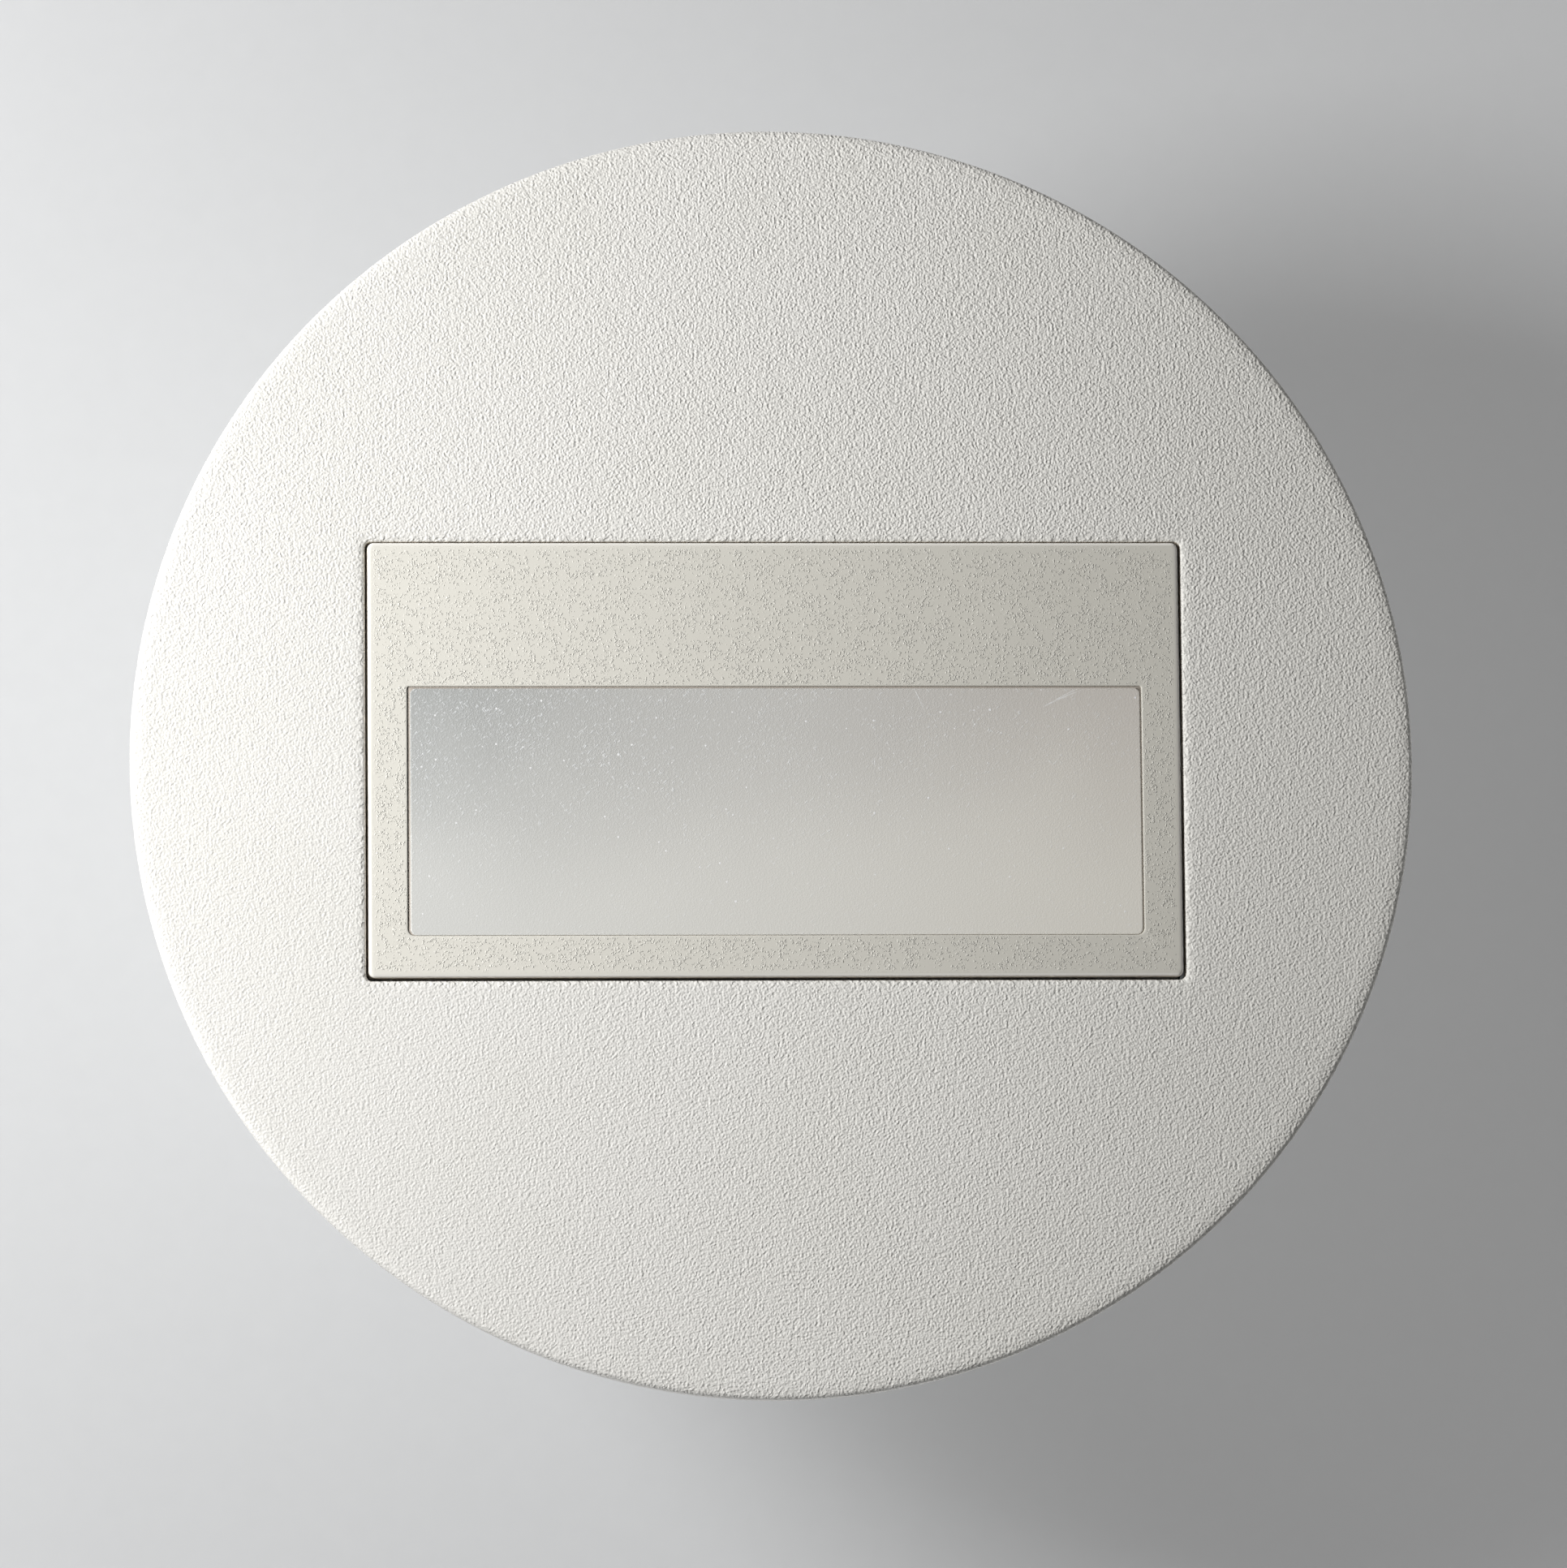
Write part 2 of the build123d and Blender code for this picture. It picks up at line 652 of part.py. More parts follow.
chip_length = 4.9
chip_width = 3.9
chip_height = 1.5
chip_leg_count = 4
chip_leg_pitch = 1.27
chip_leg_width = 0.42
chip_leg_thickness = 0.25
chip_x = 6.5
chip_y = 3.0
with BuildPart() as driver_chip:
    with Locations((chip_x, chip_y, driver_front_z)):
        Box(chip_length, chip_width, chip_height, align=on_board)
        with GridLocations(chip_leg_pitch, chip_width + leg_length - 2 * leg_tuck, chip_leg_count, 2):
            Box(chip_leg_width, leg_length, chip_leg_thickness, align=on_board)
driver_chip.part.label = "driver_chip"

inductor_side = 7.3
inductor_height = 4.5
inductor_corner = 0.9
inductor_core_radius = 2.7
inductor_groove = 0.35
inductor_x = -6.5
inductor_y = 1.5
with BuildPart() as inductor:
    with BuildSketch(Plane.XY.offset(driver_front_z)):
        with Locations((inductor_x, inductor_y)):
            RectangleRounded(inductor_side, inductor_side, inductor_corner)
    extrude(amount=inductor_height)
    with BuildSketch(Plane.XY.offset(driver_front_z + inductor_height)):
        with Locations((inductor_x, inductor_y)):
            Circle(inductor_core_radius + inductor_groove)
            Circle(inductor_core_radius, mode=Mode.SUBTRACT)
    extrude(amount=-inductor_groove, mode=Mode.SUBTRACT)
inductor.part.label = "inductor"

resistor_chip_length = 2.0
resistor_chip_width = 1.25
resistor_chip_height = 0.6
resistor_chip_places = [(-9.5, 8.6), (-5.5, 8.6), (0.3, -2.6), (0.3, 5.4)]
with BuildPart() as chip_resistors:
    with Locations(*[(x, y, driver_front_z) for x, y in resistor_chip_places]):
        Box(resistor_chip_length, resistor_chip_width, resistor_chip_height, align=on_board)
chip_resistors.part.label = "chip_resistors"

# Parts on the back of the driver board
capacitor_length = 11.0
capacitor_y = 7.6
capacitor_groove = 0.25
capacitor_groove_width = 0.8
capacitor_groove_inset = 1.6
with BuildPart() as smoothing_capacitor:
    capacitor_z = driver_back_z - capacitor_radius
    with BuildSketch(Plane.YZ.offset(-capacitor_length / 2)):
        with Locations((capacitor_y, capacitor_z)):
            Circle(capacitor_radius)
    extrude(amount=capacitor_length)
    chamfer(smoothing_capacitor.edges().filter_by(GeomType.CIRCLE), capacitor_groove)
    with BuildSketch(Plane.YZ.offset(-capacitor_length / 2 + capacitor_groove_inset)):
        with Locations((capacitor_y, capacitor_z)):
            Circle(capacitor_radius)
            Circle(capacitor_radius - capacitor_groove, mode=Mode.SUBTRACT)
    extrude(amount=capacitor_groove_width, mode=Mode.SUBTRACT)
smoothing_capacitor.part.label = "smoothing_capacitor"

resistor_radius = 1.5
resistor_length = 7.5
resistor_y = 1.2
resistor_end_rounding = 0.6
resistor_lead_radius = 0.3
resistor_lead_span = 10.5
with BuildPart() as fuse_resistor:
    resistor_z = driver_back_z - resistor_radius
    with BuildSketch(Plane.YZ.offset(-resistor_length / 2)):
        with Locations((resistor_y, resistor_z)):
            Circle(resistor_radius)
    extrude(amount=resistor_length)
    fillet(fuse_resistor.edges().filter_by(GeomType.CIRCLE), resistor_end_rounding)
    with BuildSketch(Plane.YZ.offset(-resistor_lead_span / 2)):
        with Locations((resistor_y, resistor_z)):
            Circle(resistor_lead_radius)
    extrude(amount=resistor_lead_span)
    with BuildSketch(Plane.XY.offset(resistor_z)):
        with Locations((-resistor_lead_span / 2, resistor_y), (resistor_lead_span / 2, resistor_y)):
            Circle(resistor_lead_radius)
    extrude(amount=driver_back_z - resistor_z)
fuse_resistor.part.label = "fuse_resistor"

film_length = 7.5
film_width = 4.6
film_height = 5.8
film_corner = 0.5
film_edge_rounding = 0.4
film_x = 10.0
film_y = 5.2
with BuildPart() as film_capacitor:
    with BuildSketch(Plane.XY.offset(driver_back_z)):
        with Locations((film_x, film_y)):
            RectangleRounded(film_width, film_length, film_corner)
    extrude(amount=-film_height)
    fillet(film_capacitor.edges().group_by(Axis.Z)[0], film_edge_rounding)
film_capacitor.part.label = "film_capacitor"

varistor_radius = 3.5
varistor_thickness = 3.4
varistor_rounding = 1.0
varistor_x = -10.3
varistor_y = 5.2
with BuildPart() as varistor:
    with BuildSketch(Plane.XY.offset(driver_back_z)):
        with Locations((varistor_x, varistor_y)):
            Circle(varistor_radius)
    extrude(amount=-varistor_thickness)
    fillet(varistor.edges().filter_by(GeomType.CIRCLE), varistor_rounding)
varistor.part.label = "varistor"


# Lead from the LED board's land over its edge and down to the driver board
def led_lead(lead_x):
    start_z = led_board_front_z + lead_diameter / 2
    with BuildPart() as lead:
        with BuildLine() as route:
            FilletPolyline(
                (lead_x, led_board_high_y - lead_land, start_z),
                (lead_x, lead_drop_y, start_z),
                (lead_x, lead_drop_y, driver_front_z),
                radius=lead_bend_radius,
            )
        with BuildSketch(Plane.XZ.offset(-(led_board_high_y - lead_land))):
            with Locations((lead_x, start_z)):
                Circle(lead_diameter / 2)
        sweep(path=route.line)
    return lead.part


led_lead_positive = led_lead(lead_spacing / 2)
led_lead_positive.label = "led_lead_positive"
led_lead_negative = led_lead(-lead_spacing / 2)
led_lead_negative.label = "led_lead_negative"
print("lead bend radius", lead_bend_radius, "lead diameter", lead_diameter)

# Terminal block: each pole has a round wire entry, a button well and a room for its clamp
with BuildPart() as terminal_block:
    clamp_room_depth = terminal_depth - 2 * clamp_room_wall
    with BuildSketch(Plane.XY.offset(terminal_face_z)):
        with Locations((0, terminal_y)):
            Rectangle(terminal_width, terminal_depth)
    extrude(amount=driver_back_z - terminal_face_z)
    with BuildSketch(Plane.XY.offset(driver_back_z)):
        with Locations(*[(x, terminal_y) for x in pole_places]):
            Rectangle(clamp_room_width, clamp_room_depth)
    extrude(amount=-clamp_room_height, mode=Mode.SUBTRACT)
    with BuildSketch(Plane.XY.offset(terminal_face_z)):
        with Locations(*[(x, terminal_y - entry_offset) for x in pole_places]):
            Circle(entry_radius)
        with Locations(*[(x, terminal_y + button_offset) for x in pole_places]):
            Rectangle(button_width + 2 * button_gap, button_height + 2 * button_gap)
    extrude(amount=driver_back_z - terminal_face_z - clamp_room_height, mode=Mode.SUBTRACT)
    entry_mouths = terminal_block.faces().sort_by(Axis.Z)[0].inner_wires().edges()
    chamfer(entry_mouths.filter_by(GeomType.CIRCLE), entry_chamfer)
terminal_block.part.label = "terminal_block"

# Contact of each pole: a strip on the board, a tongue beside the wire, and a solder pin
with BuildPart() as terminal_contacts:
    contact_depth = terminal_depth - 2 * clamp_room_wall - 2 * button_gap
    with BuildSketch(Plane.XY.offset(driver_back_z)):
        with Locations(*[(x, terminal_y) for x in pole_places]):
            Rectangle(contact_width, contact_depth)
    extrude(amount=-contact_thickness)
    with BuildSketch(Plane.XY.offset(driver_back_z)):
        with Locations(*[(x, terminal_y - entry_offset + entry_radius) for x in pole_places]):
            Rectangle(contact_width, contact_thickness)
    extrude(amount=-clamp_room_height + button_gap)
    with BuildSketch(Plane.XY.offset(driver_back_z)):
        with Locations(*[(x, terminal_y) for x in pole_places]):
            Circle(contact_pin_radius)
    extrude(amount=driver_board_thickness + 2 * contact_thickness)
terminal_contacts.part.label = "terminal_contacts"


# Push button of one pole: a stem in its well, and a foot that keeps it in the block
def terminal_button(button_x):
    foot_back_z = driver_back_z - clamp_room_height + button_gap / 2
    with BuildPart() as button:
        with BuildSketch(Plane.XY.offset(terminal_face_z - button_proud)):
            with Locations((button_x, terminal_y + button_offset)):
                Rectangle(button_width, button_height)
        extrude(amount=foot_back_z - terminal_face_z + button_proud)
        chamfer(button.edges().group_by(Axis.Z)[0], button_gap)
        with BuildSketch(Plane.XY.offset(foot_back_z)):
            with Locations((button_x, terminal_y + button_offset)):
                Rectangle(button_foot_width, button_height)
        extrude(amount=button_foot_height)
    return button.part


terminal_buttons = {}
for pole_name, pole_x in zip(("line", "neutral", "earth"), pole_places):
    terminal_buttons[pole_name] = terminal_button(pole_x)
    terminal_buttons[pole_name].label = "terminal_button_" + pole_name

# Fixing clip at the top of the can. Its plane holds local x along the arm and y square to it,
# with the pin at its origin. The one at the bottom is the same piece turned half round the can.
clip_plane = Plane(
    origin=(0, clip_pin_y, clip_pin_z),
    x_dir=(0, cos(clip_angle), sin(clip_angle)),
    z_dir=(1, 0, 0),
)
with BuildPart() as clip_arm_top:
    with BuildSketch(clip_plane.offset(-clip_width / 2)):
        with Locations(((arm_start + clip_reach) / 2, (arm_low + arm_high) / 2)):
            Rectangle(clip_reach - arm_start, clip_sheet)
    extrude(amount=clip_width)
    for cheek_x in (-clip_width / 2, clip_width / 2 - clip_sheet):
        with BuildSketch(clip_plane.offset(cheek_x)):
            Circle(clip_cheek_radius)
            with BuildLine():
                Polyline(
                    (0, arm_low),
                    (cheek_length, arm_low),
                    (cheek_length, arm_high),
                    (clip_cheek_radius / 2, clip_cheek_radius * sqrt(3) / 2),
                    (0, 0),
                    close=True,
                )
            make_face()
            Circle(clip_pin_radius + clip_pin_running_gap, mode=Mode.SUBTRACT)
        extrude(amount=clip_sheet)
clip_arm_top.part.label = "clip_arm_top"

# Soft sleeve over the end of the arm
with BuildPart() as clip_sleeve_top:
    sleeve_width = clip_width + 2 * sleeve_wall
    with BuildSketch(clip_plane.offset(-sleeve_width / 2)):
        with Locations((sleeve_end - sleeve_length / 2, (arm_low + arm_high) / 2)):
            RectangleRounded(sleeve_length, clip_sheet + 2 * sleeve_wall, sleeve_rounding)
    extrude(amount=sleeve_width)
    with BuildSketch(clip_plane.offset(-clip_width / 2)):
        with Locations(((arm_start + clip_reach) / 2, (arm_low + arm_high) / 2)):
            Rectangle(clip_reach - arm_start, clip_sheet)
    extrude(amount=clip_width, mode=Mode.SUBTRACT)
clip_sleeve_top.part.label = "clip_sleeve_top"

# Hinge pin through both ears, with a small head of its own radius at each chamfered end
with BuildPart() as clip_pin_top:
    pin_half_length = ear_inner_x + ear_thickness + clip_pin_end
    with BuildSketch(Plane.YZ.offset(-pin_half_length)):
        with Locations((clip_pin_y, clip_pin_z)):
            Circle(clip_pin_radius)
    extrude(amount=2 * pin_half_length)
    chamfer(clip_pin_top.edges().filter_by(GeomType.CIRCLE), clip_pin_end / 2)
clip_pin_top.part.label = "clip_pin_top"


# Point and tangent of the spring's wire, by the angle it has turned through. The coil lies round
# the pin, and starts under it.
def coil_point(turned):
    angle = turned - pi / 2
    along = spring_pitch * turned / (2 * pi) - spring_pitch * spring_turns / 2
    return Vector(
        along,
        clip_pin_y + spring_mean_radius * cos(angle),
        clip_pin_z + spring_mean_radius * sin(angle),
    )


def coil_tangent(turned):
    angle = turned - pi / 2
    rise = spring_pitch / (2 * pi)
    return Vector(rise, -spring_mean_radius * sin(angle), spring_mean_radius * cos(angle)).normalized()


# Two arcs that join at a common tangent, between two points of the coil
def coil_biarc(turned_from, turned_to):
    first, last = coil_point(turned_from), coil_point(turned_to)
    first_way, last_way = coil_tangent(turned_from), coil_tangent(turned_to)
    chord = last - first
    both = first_way + last_way
    spread = 2 * (1 - first_way.dot(last_way))
    across = chord.dot(both)
    reach = (-across + sqrt(across**2 + spread * chord.dot(chord))) / spread
    middle = (first + first_way * reach + last - last_way * reach) * 0.5
    first_arc = TangentArc(first, middle, tangent=first_way)
    TangentArc(middle, last, tangent=first_arc % 1)


# Torsion spring: one wire, with a straight leg under the rest on the can, the coil, and a
# straight leg under the arm. The coil ends where its tangent points along the arm.
coil_end = 2 * pi * spring_turns + clip_angle
quarter_steps = 4 * spring_turns
coil_stops = [i * pi / 2 for i in range(quarter_steps + 1)] + [coil_end]
with BuildPart() as clip_spring_top:
    wall_leg_end = coil_point(0) - coil_tangent(0) * spring_wall_leg
    with BuildLine() as spring_route:
        Line(wall_leg_end, coil_point(0))
        for stop_from, stop_to in zip(coil_stops, coil_stops[1:]):
            coil_biarc(stop_from, stop_to)
        Line(coil_point(coil_end), coil_point(coil_end) + coil_tangent(coil_end) * spring_arm_leg)
    with BuildSketch(Plane(origin=wall_leg_end, z_dir=coil_tangent(0))):
        Circle(spring_wire / 2)
    sweep(path=spring_route.line)
clip_spring_top.part.label = "clip_spring_top"

# Least gap of the spring's wire to itself, measured on points more than half a turn apart
coil_samples = [coil_point(coil_end * i / 400) for i in range(401)]
half_turn = int(400 / (2 * spring_turns))
least_gap = min(
    (coil_samples[i] - coil_samples[j]).length
    for i in range(401)
    for j in range(i + half_turn, 401)
) - spring_wire
print("spring wire's least gap to itself", round(least_gap, 3))
print("clip pin at y", clip_pin_y, "z", clip_pin_z, "arm at", degrees(clip_angle))
print("terminals: face z", terminal_face_z, "room z", driver_back_z - clamp_room_height)
print("front z", frame_front_z, "back z", can_back_z)

# The bottom clip's pieces, turned half round the can
bottom_pieces = {}
for piece in (clip_arm_top, clip_sleeve_top, clip_pin_top, clip_spring_top):
    with BuildPart() as turned_piece:
        add(piece.part, rotation=(0, 0, 180))
    bottom_name = piece.part.label.replace("_top", "_bottom")
    turned_piece.part.label = bottom_name
    bottom_pieces[bottom_name] = turned_piece.part

# Write each piece to its own file
built_pieces = [
    front_cover.part,
    cover_magnets.part,
    support_plate.part,
    wall_seal.part,
    module_frame.part,
    diffuser_gasket.part,
    diffuser.part,
    light_box.part,
    led_board.part,
    led_chips.part,
    led_board_screws.part,
    thermal_pad.part,
    heat_spreader.part,
    spreader_screws.part,
    housing_gasket.part,
    rear_housing.part,
    module_screws.part,
    driver_board.part,
    driver_board_screws.part,
    bridge_rectifier.part,
    driver_chip.part,
    inductor.part,
    chip_resistors.part,
    smoothing_capacitor.part,
    fuse_resistor.part,
    film_capacitor.part,
    varistor.part,
    led_lead_positive,
    led_lead_negative,
    terminal_block.part,
    terminal_contacts.part,
    clip_arm_top.part,
    clip_sleeve_top.part,
    clip_pin_top.part,
    clip_spring_top.part,
    *terminal_buttons.values(),
    *bottom_pieces.values(),
]
for built_piece in built_pieces:
    export_step(built_piece, "parts/" + built_piece.label + ".step")
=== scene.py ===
import bpy
import bmesh
from math import cos, pi, radians, sin
from mathutils import Matrix, Vector


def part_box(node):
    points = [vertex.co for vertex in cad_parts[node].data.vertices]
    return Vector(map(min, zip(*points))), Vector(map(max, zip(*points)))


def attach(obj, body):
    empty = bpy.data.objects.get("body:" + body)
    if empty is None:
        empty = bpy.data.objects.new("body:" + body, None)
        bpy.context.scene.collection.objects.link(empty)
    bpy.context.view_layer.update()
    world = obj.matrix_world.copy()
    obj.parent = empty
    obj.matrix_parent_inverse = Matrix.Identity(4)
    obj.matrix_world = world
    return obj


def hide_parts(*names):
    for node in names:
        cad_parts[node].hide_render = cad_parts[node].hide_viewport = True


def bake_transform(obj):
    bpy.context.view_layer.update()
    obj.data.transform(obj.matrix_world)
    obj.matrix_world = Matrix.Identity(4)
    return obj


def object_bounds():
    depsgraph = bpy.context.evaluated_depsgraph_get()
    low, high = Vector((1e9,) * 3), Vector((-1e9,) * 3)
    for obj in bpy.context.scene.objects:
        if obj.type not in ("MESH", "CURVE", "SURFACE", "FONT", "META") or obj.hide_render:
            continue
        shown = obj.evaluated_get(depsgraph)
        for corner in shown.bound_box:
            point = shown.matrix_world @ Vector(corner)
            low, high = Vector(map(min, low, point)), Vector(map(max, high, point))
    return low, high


# LED step light, seen from above as it lies on the back of its can. Metres, in the frame of the
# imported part: +Z points out of the wall, +Y up the wall.
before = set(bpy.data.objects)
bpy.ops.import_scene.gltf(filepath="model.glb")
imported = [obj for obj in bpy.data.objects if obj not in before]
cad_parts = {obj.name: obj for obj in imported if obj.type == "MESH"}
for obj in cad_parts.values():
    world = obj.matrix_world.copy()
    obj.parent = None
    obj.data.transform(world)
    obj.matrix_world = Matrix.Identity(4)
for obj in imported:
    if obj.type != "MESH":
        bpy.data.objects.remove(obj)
cad_low, cad_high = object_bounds()
MM = 0.001


# Shader maths

class Link:
    """A socket of a finish, so that maths on it reads as an expression."""

    def __init__(self, finish, socket):
        self.finish = finish
        self.socket = socket

    def __add__(self, other):
        return self.finish.maths("ADD", self, other)

    def __sub__(self, other):
        return self.finish.maths("SUBTRACT", self, other)

    def __rsub__(self, other):
        return self.finish.maths("SUBTRACT", other, self)

    def __mul__(self, other):
        return self.finish.maths("MULTIPLY", self, other)

    def __truediv__(self, other):
        return self.finish.maths("DIVIDE", self, other)

    def __abs__(self):
        return self.finish.maths("ABSOLUTE", self)

    __radd__ = __add__
    __rmul__ = __mul__


class Finish:
    """A procedural material. Patterns are placed by the piece's own coordinates, in millimetres."""

    def __init__(self, name, **fixed):
        self.material = bpy.data.materials.new(name)
        self.material.use_nodes = True
        self.tree = self.material.node_tree
        self.shader = self.tree.nodes["Principled BSDF"]
        for key, value in fixed.items():
            self.shader.inputs[key.replace("_", " ")].default_value = value
        place = self.node("TexCoord", output="Object")
        self.place = self.node("VectorMath", {"operation": "SCALE"}, {0: place, "Scale": 1 / MM})
        self.x, self.y, self.z = (
            self.node("SeparateXYZ", sockets={0: self.place}, output=axis) for axis in "XYZ"
        )

    def node(self, kind, settings=None, sockets=None, output=0):
        """Adds a shader node, sets its settings and sockets, and gives one of its outputs."""
        made = self.tree.nodes.new("ShaderNode" + kind)
        for key, value in (settings or {}).items():
            setattr(made, key, value)
        for key, value in (sockets or {}).items():
            if isinstance(value, Link):
                self.tree.links.new(value.socket, made.inputs[key])
            else:
                made.inputs[key].default_value = value
        return Link(self, made.outputs[output])

    def maths(self, operation, *values):
        return self.node("Math", {"operation": operation}, dict(enumerate(values)))

    def step(self, value, start, end):
        """Runs smoothly from 0 at start to 1 at end."""
        sockets = {0: value, 1: start, 2: end, 3: 0.0, 4: 1.0}
        return self.node("MapRange", {"interpolation_type": "SMOOTHSTEP"}, sockets)

    def most(self, a, b):
        """The larger of two values."""
        return self.maths("MAXIMUM", a, b)

    def noise(self, size, detail=2.0, rough=0.5, warp=0.0, place=None):
        """Even noise, 0 to 1, whose lumps are about size across."""
        sockets = {"Vector": place or self.place, "Scale": 1 / size, "Detail": detail}
        sockets |= {"Roughness": rough, "Distortion": warp}
        return self.node("TexNoise", sockets=sockets)

    def cells(self, size, output="Distance", place=None):
        """Random cells about size across: the distance to a cell's middle, or its own colour."""
        sockets = {"Vector": place or self.place, "Scale": 1 / size}
        return self.node("TexVoronoi", sockets=sockets, output=output)

    def stretch(self, along_x, along_y, along_z):
        """The piece's coordinates with each axis drawn out by a factor."""
        factors = (1 / along_x, 1 / along_y, 1 / along_z)
        return self.node("VectorMath", {"operation": "MULTIPLY"}, {0: self.place, 1: factors})

    def dots(self, size, share, reach=0.5, place=None, core=0.2):
        """Round dots in a share of random cells: 1 in a dot's core and 0 outside its reach."""
        pick = self.node("SeparateColor", sockets={0: self.cells(size, "Color", place)})
        kept = self.step(pick + share, 1.0, 1.02)
        return self.step(self.cells(size, "Distance", place), reach, reach * core) * kept

    def shaken(self, size, reach, place=None):
        """The coordinates pushed about by up to half of reach, over lumps of a size."""
        sockets = {"Vector": place or self.place, "Scale": 1 / size, "Detail": 0.0}
        push = self.node("TexNoise", sockets=sockets, output="Color")
        push = self.node("VectorMath", {"operation": "SCALE"}, {0: push, "Scale": reach})
        return self.node("VectorMath", {"operation": "ADD"}, {0: place or self.place, 1: push})

    def turned(self, angle, along, across):
        """The coordinates turned by an angle in degrees, then drawn out along and across it."""
        sockets = {"Vector": self.place, "Rotation": (0.0, 0.0, radians(-angle))}
        spun = self.node("Mapping", sockets=sockets)
        factors = (1 / along, 1 / across, 1.0)
        return self.node("VectorMath", {"operation": "MULTIPLY"}, {0: spun, 1: factors})

    def scratch(self, x, y, angle, length, width):
        """A hairline that starts at x and y, in millimetres, and fades out at its far end."""
        turn = radians(angle)
        run = (self.x - x) * cos(turn) + (self.y - y) * sin(turn)
        side = (self.y - y) * cos(turn) - (self.x - x) * sin(turn)
        bow = run * (length - run) * 0.03
        line = self.step(abs(side - bow), width, width * 0.3)
        return line * self.step(run, 0.0, length * 0.1) * self.step(run, length, length * 0.5)

    def blend(self, factor, first, second):
        """Mixes two colours: the first where factor is 0, the second where it is 1."""
        return self.node("Mix", {"data_type": "RGBA"}, {0: factor, 6: first, 7: second}, 2)

    def frame_distance(self, width, height, middle_x, middle_y):
        """Distance out from a rectangle's edge, negative inside it."""
        return self.most(abs(self.x - middle_x) - width / 2, abs(self.y - middle_y) - height / 2)

    def set(self, socket, value):
        """Feeds a varying value to a socket of the shader."""
        self.tree.links.new(value.socket, self.shader.inputs[socket])

    def bump(self, height, depth):
        """Raises the surface by up to depth millimetres where height is 1."""
        sockets = {"Height": height, "Distance": depth * MM, "Strength": 1.0}
        self.set("Normal", self.node("Bump", sockets=sockets))


def tone(red, green, blue):
    """A colour by its 8 bit screen values."""
    screen = (red / 255, green / 255, blue / 255)
    linear = [v / 12.92 if v <= 0.04045 else ((v + 0.055) / 1.055) ** 2.4 for v in screen]
    return (*linear, 1.0)


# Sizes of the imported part's cover, bezel and window, in millimetres
cover_low, cover_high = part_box("front_cover")
cover_radius = cover_high.y / MM
cover_front = cover_high.z / MM
bezel_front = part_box("module_frame")[1].z / MM
window_low, window_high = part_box("diffuser")
window_y = (window_low.y + window_high.y) / 2 / MM
packed_bezel_width = 50.6
packed_bezel_height = 27.2
packed_hole_width = 45.8
packed_hole_height = 15.6
packed_pane_width = 45.64
packed_pane_height = 15.44

# Outlines as the photo has them: the insert sits a little to the right in its opening
opening_width = 51.06
opening_height = 27.7
opening_x = 0.11
opening_y = -0.05
opening_corner = 0.4
bezel_width = 50.66
bezel_height = 27.37
bezel_x = 0.11
bezel_y = 0.015
pane_width = 45.83
pane_height = 15.68
pane_x = 0.135
pane_y = window_y + 0.04

# Painted brown shade for the walls on both sides of the gap round the insert
painted_gap_shade = tone(197, 187, 172)


# White powder coat: fine wrinkles about half a millimetre long, flatter towards the left and
# stronger towards the top, with a beaded edge of thicker coating round the opening
def powder_coat():
    coat = Finish("white_powder_coat", Specular_IOR_Level=0.4)
    worms = coat.maths("SINE", coat.noise(0.285, 0.5) * 15.0)
    lumps = coat.noise(0.155, 0.5) + worms * 0.13
    fine = coat.noise(0.08, 1.0)
    swell = coat.noise(0.9, 1.0)
    edge = coat.frame_distance(opening_width, opening_height, opening_x, opening_y)
    lip = coat.step(edge, 0.5, 0.15)
    beads = coat.step(coat.noise(0.3, 1.0, 0.5, 0.2), 0.36, 0.66)
    strength = 1.0 - 0.4 * coat.step(coat.x, 12.0, -34.0) + 0.25 * coat.step(coat.y, -6.0, 20.0)
    height = (lumps + fine * 0.05) * strength + swell * 0.15
    coat.bump(height * (1.0 - 0.5 * lip) + lip * beads * 0.6, 0.08)
    stain = coat.step(coat.noise(14.0, 3.0, 0.6), 0.35, 0.7)
    shade = coat.blend(stain, tone(242, 240, 235), tone(240, 238, 232))
    # Painted shade: the coat grows darker towards the right
    shade = coat.blend(coat.step(coat.x, 0.0, 36.0), shade, tone(235, 233, 227))
    # Painted shade: the low spots of the wrinkles are darker
    pit_shade = coat.step(lumps, 0.42, 0.25)
    shade = coat.blend(pit_shade * 0.2, shade, tone(214, 211, 203))
    nicks = coat.dots(5.0, 0.16, 0.016)
    shade = coat.blend(nicks * 0.8, shade, tone(60, 56, 52))
    # Painted shade: the walls inside the opening take the brown gap shade
    inside = coat.step(edge, 0.12, 0.04)
    inside = inside * coat.step(coat.z, cover_front - 0.12, cover_front - 0.35)
    coat.set("Base Color", coat.blend(inside, shade, painted_gap_shade))
    coat.set("Roughness", fine * 0.2 + 0.40)
    return coat.material
